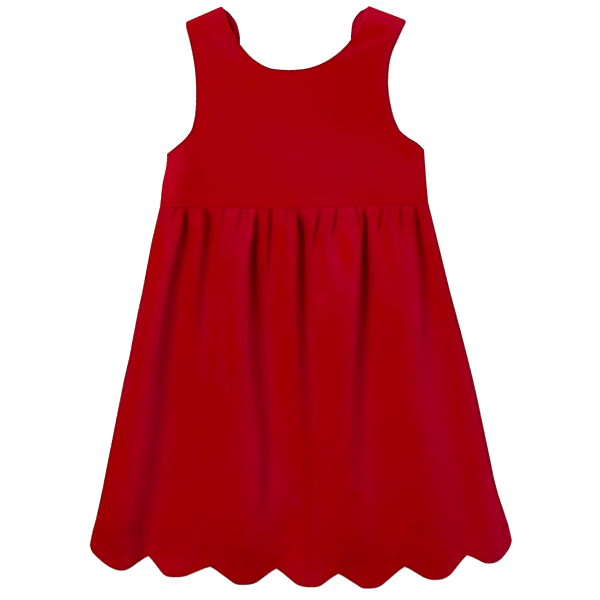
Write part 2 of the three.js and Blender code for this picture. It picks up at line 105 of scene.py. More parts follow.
soft_light("soft_box_left", (-1.5, 0.75, 1.15), 0.7, 15, (1.0, 0.99, 0.98))
soft_light("soft_box_overhead", (-0.1, 1.0, 2.4), 1.4, 49, (1.0, 1.0, 1.0))
studio = bpy.data.worlds.new("studio")
studio.use_nodes = True
studio.node_tree.nodes["Background"].inputs["Color"].default_value = (1, 1, 1, 1)
studio.node_tree.nodes["Background"].inputs["Strength"].default_value = 0.5
bpy.context.scene.world = studio
bpy.context.scene.view_settings.view_transform = "Standard"
bpy.context.scene.view_settings.look = "None"


# The velvet: red cotton with a dense cut pile about 1 mm high, dyed in the piece. It is dull and deep red
# where the pile stands up to the eye. A cold crimson sheen is painted on where a fold's flank leans away,
# painted highlights on lit edges, and painted shade, nearly black, in the folds.
PILE_TUFT = 1.1  # mm between tufts; the real ones are 0.3 mm and too fine to show
NAP_PATCH = 30.0  # mm, how far the pile leans one way before it leans another
VELVET_GROUND = ("#8b0002", "#950003")
# Colours of the painted sheen on the folds' flanks and of the painted shade in the folds.
VELVET_PAINTED_SHEEN = "#94001f"
VELVET_PAINTED_SHADE = "#4a0000"


def cotton_velvet(name):
    """The velvet, for a sheet whose points say how much painted sheen they take, and how much painted
    shade (up to 1) or painted highlight (below 0)."""
    material = bpy.data.materials.new(name)
    material.use_nodes = True
    tree = material.node_tree
    tree.nodes.clear()
    place = add_node(tree, "ShaderNodeTexCoord", {}, {})
    tufts = add_node(tree, "ShaderNodeTexNoise", {"Scale": 1000 / PILE_TUFT, "Detail": 2.0, "Roughness": 0.6},
                     {"Vector": place.outputs["Object"]})
    patches = add_node(tree, "ShaderNodeTexNoise",
                       {"Scale": 1000 / NAP_PATCH, "Detail": 3.0, "Roughness": 0.55, "Distortion": 0.4},
                       {"Vector": place.outputs["Object"]})
    # The painted sheen and the painted shading (shade, or a highlight below 0), read from the sheet's points.
    bloom = add_node(tree, "ShaderNodeAttribute", {"attribute_name": "painted_sheen_map"}, {})
    crush = add_node(tree, "ShaderNodeAttribute", {"attribute_name": "painted_shading_map"}, {})
    uneven = add_node(tree, "ShaderNodeMapRange",
                      {"From Min": 0.3, "From Max": 0.7, "To Min": -0.07, "To Max": 0.09},
                      {"Value": patches.outputs["Fac"]})
    # Painted sheen, plus random patches where the nap leans differently.
    lean = add_node(tree, "ShaderNodeMath", {"operation": "ADD", "use_clamp": True},
                    {0: bloom.outputs["Fac"], 1: uneven.outputs[0]})
    ground = add_node(tree, "ShaderNodeMix", {"data_type": "RGBA"}, {"Factor": tufts.outputs["Fac"]})
    ground.inputs["A"].default_value = linear(VELVET_GROUND[0])
    ground.inputs["B"].default_value = linear(VELVET_GROUND[1])
    with_painted_sheen = add_node(tree, "ShaderNodeMix", {"data_type": "RGBA"},
                       {"Factor": lean.outputs[0], "A": ground.outputs["Result"]})
    with_painted_sheen.inputs["B"].default_value = linear(VELVET_PAINTED_SHEEN)
    # Painted shade towards near black, or a painted highlight away from it where below 0.
    with_painted_shading = add_node(tree, "ShaderNodeMix", {"data_type": "RGBA", "clamp_factor": False},
                   {"Factor": crush.outputs["Fac"], "A": with_painted_sheen.outputs["Result"]})
    with_painted_shading.inputs["B"].default_value = linear(VELVET_PAINTED_SHADE)
    pile_height = add_node(tree, "ShaderNodeBump", {"Strength": 0.1, "Distance": 0.0005},
                           {"Height": tufts.outputs["Fac"]})
    velvet = add_node(tree, "ShaderNodeBsdfPrincipled",
                      {"Roughness": 1.0, "Specular IOR Level": 0.0, "Sheen Weight": 0.22,
                       "Sheen Roughness": 0.3, "Sheen Tint": linear("#ff2a6a")},
                      {"Base Color": with_painted_shading.outputs["Result"], "Normal": pile_height.outputs[0]})
    add_node(tree, "ShaderNodeOutputMaterial", {}, {"Surface": velvet.outputs[0]})
    return material


# The front skirt: one panel of velvet about 410 mm wide at the top and 435 mm at the hem, gathered into a
# waist seam of 268 mm. Long folds run down from the gathers. The hem is cut in seven scallops and faced.
SKIRT_CLOTH = 1.2
SEAM_LINE = 0.1  # the groove along the waist seam
SIDE_GAP = 0.4  # between front and back where the side turns over
SIDE_EDGE = 6.6  # thickness of the whole dress at its folded sides
SIDE_REACH = 4.6  # how far in from the side the cloth starts to turn over
SIDE_SLOPE = 20  # how far in from the side the skirt has its full height
ROLL_COLUMNS = 8
SKIRT_ROUND = 0.3
FRONT_SKIRT_GRID = (260, 165)
ROW_SPACING = 1.35  # above 1 brings the rows closer together towards the hem
ALIGNED_FROM = 0.7  # share of the way down from which the points move over to the notches
CENTRE_X = -8.0
WAIST_SEAM = {"x": [-140.9, CENTRE_X, 127.5], "y": [89.4, 87.8, 93.0]}


def named(columns, rows):
    """Rows of values as dicts, by the names of their columns."""
    return [dict(zip(columns.split(), row)) for row in rows]


# How far the two sides swing out from straight lines, at shares of the way from the waist to the hem.
SIDE_SWING = {
    "share": [0, 0.1, 0.26, 0.31, 0.38, 0.44, 0.51, 0.58, 0.7, 0.77, 0.82, 0.87, 0.935, 0.965, 1],
    "left": [0, 1, 0, 0.25, -0.1, -0.6, 0, -0.1, -0.6, -0.8, -1, -1.1, -0.7, 0.2, 0],
    "right": [0, 0, -0.2, 0.2, 0.7, 0.9, 1, 0.6, -0.9, -1.8, -2.6, -2.4, -0.4, 0.3, 0],
}
# The hem from its left corner: in each scallop a straight flank falls to left, a round bottom goes through
# low to right, and a straight flank rises to the next notch, or to the right corner, at end.
HEM_CORNER = (-210.6, -252.3)
HEM_CORNER_ROUND = 5.0
NOTCH_ROUND = {"depth": 0.8, "half": 3.0}
SCALLOPS = named("left low right end", [
    ((-203.6, -259.1), (-178.5, -273.0), (-168.0, -269.1), (-151.9, -257.6)),
    ((-140.0, -273.5), (-125.0, -279.5), (-112.0, -277.4), (-90.2, -268.3)),
    ((-68.2, -284.7), (-59.2, -287.3), (-41.0, -282.8), (-24.2, -270.2)),
    ((-8.3, -283.8), (8.7, -289.6), (22.0, -286.7), (37.4, -275.3)),
    ((59.0, -289.5), (65.8, -290.9), (83.0, -285.9), (103.4, -268.3)),
    ((119.5, -278.1), (133.0, -282.3), (152.5, -273.6), (165.6, -256.8)),
    ((181.8, -264.9), (188.3, -265.8), (203.3, -257.2), (210.6, -247.6)),
])
LOFT = {"down": [0, 3, 7, 18, 55, 120, 200, 300, 380],
        "floor": [4.6, 4.2, 4.2, 4.3, 4.2, 3.8, 3.4, 3.2, 3.2],
        "crest": [5.1, 7.4, 9.4, 11.4, 12.2, 10.2, 8.0, 6.7, 5.4]}
# Each fold: where its core lies at some distances down from the seam, how far it reaches on each side, what
# share of the loft it takes, and how dark the painted shade in it is.
LONG_FOLDS = named("down x left right cut crush", [
    ([0, 6, 14, 27, 47, 77, 122, 162, 202, 242, 282, 317, 347],
     [-114, -114.2, -114.6, -115.2, -119.4, -125, -131.4, -137, -140, -145, -151.6, -159.2, -162],
     [3, 3, 3.5, 4.5, 6.2, 8, 11, 13, 15, 16, 16, 17, 14],
     [3, 3, 3.5, 5, 7, 9, 10, 11, 12, 13, 14, 14, 12],
     [0.7, 1, 1, 1, 0.95, 0.9, 0.85, 0.8, 0.8, 0.8, 0.8, 0.85, 0.6],
     [0.3, 0.8, 0.95, 0.76, 0.52, 0.41, 0.42, 0.42, 0.35, 0.34, 0.36, 0.4, 0.3]),
    ([0, 6, 14, 27, 47, 77, 110, 145],
     [-94.5, -93.5, -92, -93, -94.2, -97.4, -98.6, -100],
     [3, 4, 4, 4, 6, 6, 7, 7], [3, 5, 6, 6, 7, 7, 7, 7],
     [0.6, 0.9, 1, 0.95, 0.7, 0.5, 0.3, 0], [0.5, 0.68, 0.55, 0.5, 0.4, 0.32, 0.16, 0]),
    ([0, 6, 14, 27, 47, 60, 82, 122, 162, 202, 242, 282, 312],
     [-43.6, -43.6, -44.4, -45, -47.2, -47, -45.6, -44, -41.6, -38, -34.6, -35, -35],
     [2, 2, 2.5, 3, 4, 5, 8, 11, 12, 12, 10, 11, 16],
     [2, 2.2, 3.6, 4.5, 7, 9, 11, 12, 12, 12, 10, 9, 16],
     [0.6, 0.9, 1, 1, 1, 1, 0.95, 0.85, 0.75, 0.75, 0.7, 0.6, 0.4],
     [0.15, 0.4, 0.75, 0.95, 0.92, 0.85, 0.68, 0.45, 0.42, 0.36, 0.34, 0.25, 0.06]),
    ([0, 6, 14, 27, 47, 77, 122, 162, 202, 242],
     [-2.4, -1.9, -1.3, 0.6, 1, 1.2, 2.4, 4.6, 5.4, 8],
     [2.5, 3, 3, 4, 5, 6, 8, 9, 10, 10], [4, 6, 7.5, 6.5, 6.5, 8, 7, 7, 8, 8],
     [0.7, 1, 1, 1, 1, 0.9, 0.75, 0.6, 0.4, 0.2],
     [0.2, 0.5, 0.98, 0.95, 0.8, 0.72, 0.5, 0.32, 0.22, 0.1]),
    ([0, 8, 16, 29, 49, 79, 124, 164, 204, 244, 304],
     [63.4, 63.4, 64.4, 64.2, 64, 64.4, 62.6, 60.4, 58.8, 58.2, 56],
     [2, 2.2, 2.6, 3.2, 4.6, 7, 9, 10, 12, 13, 14],
     [2, 2.4, 2.6, 3.2, 5.4, 9.5, 10, 10, 10, 11, 12],
     [0.8, 1, 1, 1, 1, 1, 0.85, 0.7, 0.5, 0.4, 0.2],
     [0.3, 0.7, 0.9, 1.05, 1.05, 0.9, 0.58, 0.42, 0.3, 0.2, 0]),
    ([0, 9, 17, 30, 50, 80, 125, 185, 300],
     [114, 114.8, 116.2, 117.8, 121.2, 125, 127.2, 134, 151],
     [2.5, 2.5, 3, 4, 6, 8, 9, 16, 18], [2.5, 3, 4.5, 6, 7.5, 9, 9, 16, 18],
     [0.7, 1, 1, 0.95, 0.85, 0.7, 0.55, 0.35, 0.3],
     [0.3, 0.7, 0.8, 0.68, 0.5, 0.28, 0.15, 0, 0]),
])
# A fold's left flank is steep, with a lip beside it, and its right one slack. In shares of its reach.
STEEP_FLANK = {"near": 1.0, "wide": 2.2}
SLACK_FLANK = {"near": 1.5, "wide": 3.4}
WIDE_CUT = 0.2  # share of a fold's cut that goes on in its wide outer part
LIP = {"rise": 0.08, "at": 1.5, "half": 0.5, "starts": (4, 30)}
# Painted shade spread over a fold's slack flank: how dark, how far in shares of its reach, and where it
# fades.
SLACK_SHADE = {"crush": 0.18, "reach": 3.2, "ends": (60, 200)}
# Short gathers between the long folds: how far they lean to the right on the way down, and where they end.
# Their last column is the painted shade in them.
SHORT_GATHERS = named("x lean cut half reach crush", [
    (-133.5, -0.3, 0.35, 2.6, 20, 0.05),
    (-124.3, -0.25, 0.6, 2.6, 24, 0.4),
    (-104.0, -0.1, 0.4, 2.8, 20, 0.05),
    (-98.4, 0.45, 0.7, 2.4, 14, 0.3),
    (-83.0, -0.1, 0.35, 3.0, 18, 0.0),
    (-75.6, -0.05, 0.4, 3.4, 28, 0.1),
    (-67.0, -0.1, 0.35, 3.0, 20, 0.05),
    (-58.8, -0.16, 0.6, 2.6, 32, 0.25),
    (-52.6, 0.0, 0.5, 2.4, 20, 0.2),
    (-36.0, 0.0, 0.4, 2.6, 18, 0.05),
    (-29.8, -0.03, 0.7, 3.2, 104, 0.55),
    (-21.0, 0.0, 0.4, 2.8, 16, 0.05),
    (-14.0, 0.0, 0.45, 2.6, 22, 0.25),
    (-7.0, 0.1, 0.5, 2.8, 16, 0.2),
    (9.5, 0.1, 0.4, 2.8, 22, 0.05),
    (19.8, -0.17, 0.55, 3.2, 80, 0.42),
    (28.5, 0.1, 0.4, 2.6, 18, 0.05),
    (36.6, -0.15, 0.65, 2.4, 44, 0.42),
    (45.0, 0.1, 0.4, 2.8, 20, 0.05),
    (54.8, 0.26, 0.6, 2.4, 28, 0.5),
    (73.5, 0.0, 0.4, 2.8, 20, 0.05),
    (81.4, -0.13, 0.55, 3.0, 46, 0.25),
    (88.8, -0.02, 0.5, 2.8, 32, 0.2),
    (99.8, 0.06, 0.6, 3.0, 38, 0.25),
    (107.5, 0.1, 0.4, 2.6, 18, 0.05),
    (122.6, 0.2, 0.4, 2.6, 22, 0.05),
])
# Painted sheen where the folds' flanks catch the light: the middle, half width and strength of each band.
PAINTED_SHEEN_BANDS = named("down x half glow", [
    ([0, 32, 54, 82, 122, 162, 202, 242, 282, 317, 350],
     [-133, -129, -128, -133, -138, -143, -145, -149, -156, -162, -164],
     [9, 8, 8, 10, 11, 12, 15, 17, 17, 15, 15],
     [0.3, 0.52, 0.6, 0.62, 0.66, 0.78, 0.82, 0.78, 0.66, 0.55, 0.25]),
    ([10, 32, 54, 82, 122, 162, 200], [-103, -102, -99, -96.5, -96, -97, -98],
     [4, 5, 6, 6, 6, 6, 6], [0.15, 0.22, 0.3, 0.46, 0.44, 0.25, 0]),
    ([25, 45, 70, 90, 122, 162, 200], [-75, -75, -77, -78, -78, -79, -80],
     [6, 7, 7, 6, 5, 5, 5], [0, 0.2, 0.12, 0.1, 0.3, 0.25, 0]),
    ([0, 14, 32, 54, 82, 122, 162, 202, 242, 282, 317, 345],
     [-66, -65, -62, -57, -57, -54, -52, -46, -40, -34, -38, -35],
     [18, 16, 13, 9, 8, 9, 9, 16, 21, 24, 20, 18],
     [0.4, 0.45, 0.6, 0.65, 0.65, 0.65, 0.6, 0.52, 0.72, 0.66, 0.36, 0.05]),
    ([10, 32, 54, 82, 122, 162, 202, 230], [-32, -31, -31, -31, -35, -34, -33, -32],
     [4, 4, 5, 5, 6, 6, 6, 6], [0.1, 0.25, 0.35, 0.35, 0.35, 0.45, 0.35, 0]),
    ([0, 14, 32, 54, 82, 110, 140], [-14, -13, -10, -8, -7, -6, -6],
     [8, 8, 6, 5, 5, 6, 6], [0.3, 0.36, 0.42, 0.32, 0.32, 0.25, 0]),
    ([90, 122, 162, 202, 242], [0, 4, 4, 5, 7],
     [6, 7, 7, 6, 6], [0, 0.3, 0.36, 0.2, 0]),
    ([0, 14, 32, 54, 82], [10, 11, 11, 14, 14],
     [5, 5, 5, 6, 6], [0.3, 0.42, 0.38, 0.38, 0.1]),
    ([0, 14, 32, 54, 82, 110], [24, 26, 30, 33, 38, 40], [7, 7, 6, 6, 8, 8],
     [0.3, 0.42, 0.7, 0.85, 0.4, 0]),
    ([0, 14, 32, 54, 82, 122, 162, 202, 242, 282, 317, 345],
     [46, 49, 55, 57, 52, 55, 57, 57, 60, 69, 66, 68],
     [9, 9, 5, 6, 13, 8, 10, 16, 15, 11, 12, 10],
     [0.35, 0.42, 0.6, 0.6, 0.62, 0.66, 0.55, 0.52, 0.5, 0.4, 0.28, 0.1]),
    ([0, 14, 32, 54, 82, 110], [72, 72, 76, 78, 84, 86], [5, 5, 6, 7, 10, 10],
     [0.3, 0.38, 0.48, 0.42, 0.3, 0]),
    ([0, 14, 32, 54, 70], [88, 89, 94, 96, 97],
     [5, 5, 5, 6, 6], [0.4, 0.52, 0.6, 0.25, 0]),
    ([0, 14, 32, 54, 82, 122, 162, 202, 242, 282, 317, 345],
     [105, 106, 107, 109, 112, 119, 126, 130, 138, 145, 153, 152],
     [5, 5, 6, 9, 10, 12, 15, 15, 15, 18, 18, 14],
     [0.4, 0.48, 0.55, 0.8, 0.78, 0.95, 0.88, 0.85, 0.8, 0.58, 0.5, 0.42]),
    ([190, 242, 282, 305], [21, 25, 27, 29], [3, 4, 4, 4], [0, 0.15, 0.14, 0]),
    ([250, 282, 317, 345], [184, 190, 199, 199], [8, 9, 12, 17], [0, 0.5, 0.75, 0.7]),
])
# Painted sheen down the two sides: its strength, how it changes between distances down, and its width.
LEFT_PAINTED_SHEEN = {"glow": 0.35, "starts": (70, 100), "ends": (180, 240), "wide": 2}
RIGHT_PAINTED_SHEEN = {"glow": 0.35, "more": 0.4, "starts": (100, 180), "wide": 5}
# Kinds of unevenness: the size of a bump in mm, its rate along y (below 1 draws it out) and a seed.
BUMPS = {
    "loft": (46, 1, 3.1), "loft_fine": (17, 0.5, 7.7), "hem_facing": (28, 0, 5.5), "streaks": (5, 0.16, 9.3),
    "hem_bloom": (20, 1, 9.3), "flecks": (8, 1, 6.1), "back_skirt": (30, 0.4, 2.2),
    "bodice_facing": (18, 1, 2.9), "back_bodice": (40, 1, 4.4),
}
# How strong they are, random sheen and flecks near the hem, painted sheen and shade just below the seam,
# and painted shade growing darker low on the skirt.
UNEVEN = {"loft": 0.2, "loft_fine": 0.05, "fine_starts": (6, 40), "streaks": 0.12, "hem_bloom": 0.3,
          "hem_bloom_ends": (10, 40), "flecks": 0.02, "hem_flecks": 0.1, "hem_flecks_end": (15, 55)}
SEAM_PAINTED_SHEEN_AND_SHADE = {"bloom": 0.1, "painted_sheen_ends": (0, 26), "crush": 0.01, "painted_shading_ends": (0, 16)}
LOW_PAINTED_SHADE = {"crush": 0.05, "starts": (180, 340)}
# The most painted sheen a point takes.
MOST_PAINTED_SHEEN = 1.3
# Painted shade along the turned edges: how dark, how wide where flat, the hem's share of it, and how
# fast it fades round a rolled edge.
PAINTED_EDGE_SHADE = {"crush": 0.75, "half": 2.0, "hem": 0.7, "skirt_side": 3, "bodice_side": 4, "shoulder": 8}
# Painted light on the skirt: centre and half size of each patch, its painted sheen, and its painted
# shade, or a painted highlight where that is below 0.
SKIRT_PAINTED_LIGHT = named("x y half_x half_y bloom crush", [
    (34, 88, 44, 7, 0.3, -0.15),
    (46, 62, 9, 14, 0.1, -0.12),
    (-66, 84, 10, 8, 0.1, -0.09),
    (-48, 86, 5, 8, 0.4, -0.14),
    (-50, 62, 4, 7, 0.5, -0.18),
    (20, 0, 9, 14, 0.45, -0.1),
    (42, 30, 12, 20, 0, -0.16),
    (43, -3, 8, 7, -0.4, 0),
    (86, 28, 18, 32, 0, -0.08),
    (128, 66, 7, 20, 0.1, -0.08),
    (107, 76, 5, 18, -0.2, 0),
    (-178, -240, 16, 20, 0.1, 0),
    (175, -246, 12, 12, 0.15, 0),
    (54, -185, 8, 16, 0.35, 0),
    (-40, -55, 9, 44, 0.22, 0),
    (70, 58, 4, 14, 0.1, -0.12),
    (-60, 44, 6, 9, 0.1, -0.1),
    (142, -258, 12, 12, -0.35, 0),
    (72, 22, 74, 50, 0, -0.05),
    (-125, -90, 70, 110, 0, 0.09),
    (-190, -246, 22, 20, 0, 0.17),
    (-150, -236, 14, 10, 0, 0.06),
    (-132, -268, 18, 9, 0.2, -0.12),
    (-96, -248, 16, 10, 0, 0.08),
    (-52, -268, 26, 22, -0.1, 0.2),
    (-3, -262, 10, 20, 0.15, -0.15),
    (10, -282, 12, 8, 0.2, -0.08),
    (58, -262, 24, 24, -0.12, 0.19),
    (118, -262, 26, 16, 0, 0.12),
    (196, -250, 16, 14, 0.1, 0.04),
    (206, -226, 5, 16, -0.1, 0.22),
    (-174, -234, 9, 8, -0.1, 0.12),
    (-21, -228, 9, 16, 0, 0.08),
    (119, -233, 8, 12, 0, 0.09),
    (5, -218, 6, 30, 0, -0.1),
    (58, -198, 5, 6, -0.35, 0.02),
])
# The facing inside the hem: how far up it ends, the step there, and the groove pressed along it.
HEM_FACING = {"ends": (31, 34), "step": 0.3, "groove_at": 33, "groove": 0.25, "half": 1.3}
# Puckers round each notch: their height, how it varies in rays, and how far from the notch they lie.
PUCKERS = {"height": 0.22, "ray": 0.3, "rays": 5.0, "turn": 0.03, "at": 4, "half": 5}
# Creases pressed into that facing, from end to end: depth, half width and the painted shade along them.
HEM_CREASES = named("from to height half crush", [
    ((-188, -242), (-163, -237), -0.4, 1.6, 0.12),
    ((-77, -254), (-36, -252), -0.4, 1.6, 0.1),
    ((-166, -268), (-154, -246), -0.4, 2.2, 0.1),
    ((-86, -280), (-90, -256), -0.3, 2.2, 0.08),
    ((-25, -268), (-20, -246), -0.4, 2.4, 0.08),
    ((48, -280), (40, -256), -0.3, 2.6, 0.08),
    ((96, -262), (118, -250), -0.4, 2.2, 0.1),
    ((160, -258), (152, -238), -0.4, 2.4, 0.1),
])
# Small slanting ridges between the folds, from end to end as x and distance down: height and half width.
# Painted sheen along those ridges.
SLANT_PAINTED_SHEEN = 0.3
SLANT_RIDGES = named("from to height half", [
    ((41, 15), (53, 36), 0.9, 3.0),
    ((29, 44), (41, 66), 0.8, 4.0),
    ((-53, 20), (-51, 44), 0.8, 3.0),
])


def eased(value, low, high):
    """0 at or below low, 1 at or above high, and smooth between."""
    share = np.clip((value - low) / (high - low), 0, 1)
    return share * share * (3 - 2 * share)


def wander(x, y, kind):
    """Soft uneven cloth: noise between about -0.6 and 0.6, of one of the kinds of bumps."""
    size, along_y, seed = BUMPS[kind]
    spots = zip(np.ravel(x) / size, np.ravel(y * along_y) / size)
    return np.reshape([noise.noise(Vector((a, b, seed))) for a, b in spots], np.shape(x))


def swing(share, side):
    """How far a side swings out at a share of the way from the waist to the hem."""
    return np.interp(share, SIDE_SWING["share"], SIDE_SWING[side])


def along(down, table, field):
    """A value of a fold or band at some distance down from the seam."""
    return np.interp(down, table["down"], table[field])


def band(distance, half):
    """1 at no distance, fading to either side."""
    return np.exp(-(distance / half) ** 2)


def ridge(x, y, ends, half):
    """1 along a straight line between two ends, fading sideways and past them."""
    start, end = np.array(ends, dtype=float)
    run = end - start
    share = np.clip(((x - start[0]) * run[0] + (y - start[1]) * run[1]) / (run @ run), 0, 1)
    off = np.hypot(x - start[0] - share * run[0], y - start[1] - share * run[1])
    return band(off, half) * np.sin(math.pi * (0.15 + 0.7 * share))


def seam_y(x):
    """The waist seam of the front."""
    return np.interp(x, WAIST_SEAM["x"], WAIST_SEAM["y"])


def cubic(x, start, end, start_slope, end_slope):
    """Height along a smooth line from a start point to an end point that has these slopes there."""
    run = end[0] - start[0]
    t = np.clip((x - start[0]) / run, 0, 1)
    return (start[1] + (end[1] - start[1]) * t * t * (3 - 2 * t)
            + run * (start_slope * t * (1 - t) ** 2 - end_slope * t * t * (1 - t)))


def pulled_in(from_corner, radius):
    """How far a corner rounded to a radius pulls an edge in, at some distance from that corner."""
    return radius - np.sqrt(radius ** 2 - np.clip(radius - from_corner, 0, radius) ** 2)


def hem_y(x):
    """The scalloped hem, with its notches and its two corners rounded."""
    result = np.zeros_like(x)
    notch = HEM_CORNER
    for lobe in SCALLOPS:
        left, low, right, end = lobe["left"], lobe["low"], lobe["right"], lobe["end"]
        falling = (left[1] - notch[1]) / (left[0] - notch[0])
        rising = (end[1] - right[1]) / (end[0] - right[0])
        parts = ((notch, left, falling, falling), (left, low, falling, 0), (low, right, 0, rising),
                 (right, end, rising, rising))
        for a, b, start_slope, end_slope in parts:
            inside = (x >= a[0] - 1e-6) & (x <= b[0] + 1e-6)
            result = np.where(inside, cubic(x, a, b, start_slope, end_slope), result)
        notch = end
    for lobe in SCALLOPS[:-1]:
        result -= NOTCH_ROUND["depth"] * band(x - lobe["end"][0], NOTCH_ROUND["half"])
    return result + pulled_in(np.minimum(x - HEM_CORNER[0], SCALLOPS[-1]["end"][0] - x), HEM_CORNER_ROUND)


def patched(x, y, patches):
    """Painted sheen and painted shading that a table of patches adds."""
    bloom, crush = np.zeros_like(x), np.zeros_like(x)
    for patch in patches:
        across, up = (x - patch["x"]) / patch["half_x"], (y - patch["y"]) / patch["half_y"]
        inside = np.exp(-across ** 2 - up ** 2)
        bloom += patch["bloom"] * inside
        crush += patch["crush"] * inside
    return bloom, crush


def fold_shape(share):
    """How much of the loft a fold takes away: all at its centre, nothing from 1 on."""
    share = np.clip(share, 0, 1)
    return (1 - share) ** 2 * (1 + 2 * share)


def hem_puckers(x, y):
    """Little ridges where the facing is clipped and turned at the notches between two scallops."""
    height = np.zeros_like(x)
    for lobe in SCALLOPS[:-1]:
        across, up = x - lobe["end"][0], y - lobe["end"][1]
        angle = np.arctan2(across, np.maximum(up, 0.01))
        ray = np.cos(PUCKERS["rays"] * angle + PUCKERS["turn"] * lobe["low"][0])
        away = np.hypot(across, up) - PUCKERS["at"]
        height += (PUCKERS["height"] + PUCKERS["ray"] * ray) * band(away, PUCKERS["half"])
    return height


def folded(x, down):
    """What share of the loft the folds and gathers leave, the lips beside the folds, and the painted
    shade in them."""
    left_of_loft, lip, crush = np.ones_like(x), np.zeros_like(x), np.zeros_like(x)
    for fold in LONG_FOLDS:
        offset = x - along(down, fold, "x")
        steep = offset < 0
        share = np.abs(offset) / np.where(steep, along(down, fold, "left"), along(down, fold, "right"))
        cut = along(down, fold, "cut")
        near = fold_shape(share / np.where(steep, STEEP_FLANK["near"], SLACK_FLANK["near"]))
        left_of_loft *= 1 - cut * near
        wide = fold_shape(share / np.where(steep, STEEP_FLANK["wide"], SLACK_FLANK["wide"]))
        left_of_loft *= 1 - WIDE_CUT * cut * wide
        lip = np.maximum(lip, np.where(steep, cut * band(share - LIP["at"], LIP["half"]), 0))
        # Painted shade in the fold's core, spread thinner over its slack flank near the seam.
        shade = np.where(steep, 0, SLACK_SHADE["crush"] * fold_shape(share / SLACK_SHADE["reach"]))
        shade = shade * (1 - eased(down, *SLACK_SHADE["ends"]))
        crush = np.maximum(crush, along(down, fold, "crush") * np.maximum(fold_shape(share), shade))
    for gather in SHORT_GATHERS:
        offset = x - gather["x"] - gather["lean"] * down
        shape = fold_shape(np.abs(offset) / gather["half"])
        fade = 1 - eased(down, 0, gather["reach"])
        left_of_loft *= 1 - gather["cut"] * fade * shape
        # Painted shade in the gather.
        crush = np.maximum(crush, gather["crush"] * fade * shape)
    return left_of_loft, lip, crush


def side_painted_sheen(x, down, from_side):
    """The painted sheen down the two sides of the skirt."""
    left = LEFT_PAINTED_SHEEN["glow"] * eased(down, *LEFT_PAINTED_SHEEN["starts"]) * (1 - eased(down, *LEFT_PAINTED_SHEEN["ends"]))
    right = RIGHT_PAINTED_SHEEN["glow"] + RIGHT_PAINTED_SHEEN["more"] * eased(down, *RIGHT_PAINTED_SHEEN["starts"])
    return np.where(x < 0, left * np.exp(-from_side / LEFT_PAINTED_SHEEN["wide"]),
                    right * np.exp(-from_side / RIGHT_PAINTED_SHEEN["wide"]))


def front_skirt_surface(x, y, from_side):
    """Height of the front skirt in mm, and its painted sheen and painted shading."""
    down = np.maximum(0, seam_y(x) - y)
    hem = y - hem_y(np.clip(x, HEM_CORNER[0], -HEM_CORNER[0]))
    left_of_loft, lip, crush = folded(x, down)
    floor, crest = along(down, LOFT, "floor"), along(down, LOFT, "crest")
    uneven = 1 + UNEVEN["loft"] * wander(x, y, "loft")
    uneven += UNEVEN["loft_fine"] * wander(x, y, "loft_fine") * eased(down, *UNEVEN["fine_starts"])
    lip_rise = LIP["rise"] * lip * eased(down, *LIP["starts"])
    height = floor + (crest - floor) * (left_of_loft * uneven + lip_rise)
    # Painted sheen and painted shading from the patches.
    bloom, painted_shading_and_flecks = patched(x, y, SKIRT_PAINTED_LIGHT)
    # Painted sheen just below the seam, on the gathers' crests.
    bloom += SEAM_PAINTED_SHEEN_AND_SHADE["bloom"] * (1 - eased(down, *SEAM_PAINTED_SHEEN_AND_SHADE["painted_sheen_ends"])) * left_of_loft
    # The slanting ridges, with painted sheen along them.
    for slant in SLANT_RIDGES:
        on_line = ridge(x, down, (slant["from"], slant["to"]), slant["half"])
        height += slant["height"] * on_line
        bloom += SLANT_PAINTED_SHEEN * on_line
    step = HEM_FACING["step"] * (1 - eased(hem, *HEM_FACING["ends"]))
    groove = HEM_FACING["groove"] * band(hem - HEM_FACING["groove_at"], HEM_FACING["half"])
    height += (step - groove) * np.clip(0.6 + 1.4 * wander(x, y, "hem_facing"), 0, 1)
    height += hem_puckers(x, y)
    # Creases in the facing, with painted shade along them.
    for crease in HEM_CREASES:
        on_line = ridge(x, y, (crease["from"], crease["to"]), crease["half"])
        height += crease["height"] * on_line
        painted_shading_and_flecks += crease["crush"] * on_line
    # Painted sheen on the folds' flanks and down the sides, with random streaks and patches near the hem.
    for light in PAINTED_SHEEN_BANDS:
        bloom += along(down, light, "glow") * band(x - along(down, light, "x"), along(down, light, "half"))
    bloom += side_painted_sheen(x, down, from_side) + UNEVEN["streaks"] * wander(x, y, "streaks")
    patchy = np.clip(wander(x, y, "hem_bloom"), 0, 1) * (1 - eased(hem, *UNEVEN["hem_bloom_ends"]))
    bloom += UNEVEN["hem_bloom"] * patchy
    bloom *= 1 - np.clip(crush, 0, 1) ** 2
    flecks = UNEVEN["flecks"] + UNEVEN["hem_flecks"] * (1 - eased(hem, *UNEVEN["hem_flecks_end"]))
    # Painted shade darker towards the hem and just under the seam, with random flecks.
    painted_shading_and_flecks += LOW_PAINTED_SHADE["crush"] * eased(down, *LOW_PAINTED_SHADE["starts"]) + flecks * wander(x, y, "flecks")
    painted_shading_and_flecks += SEAM_PAINTED_SHEEN_AND_SHADE["crush"] * (1 - eased(down, *SEAM_PAINTED_SHEEN_AND_SHADE["painted_shading_ends"]))
    # Painted shade along the hem's turned edge.
    painted_shading_and_flecks += PAINTED_EDGE_SHADE["hem"] * PAINTED_EDGE_SHADE["crush"] * band(hem, PAINTED_EDGE_SHADE["half"])
    height = SIDE_EDGE + (height - SIDE_EDGE) * eased(from_side, 0, SIDE_SLOPE)
    return height, np.clip(bloom, 0, MOST_PAINTED_SHEEN), crush + painted_shading_and_flecks


def notch_aligned(places):
    """Moves places across the hem a little, so that one of them falls on each notch."""
    notches = [HEM_CORNER[0]] + [lobe["end"][0] for lobe in SCALLOPS]
    nearest = [places[np.argmin(np.abs(places - notch))] for notch in notches]
    return np.interp(places, nearest, notches)


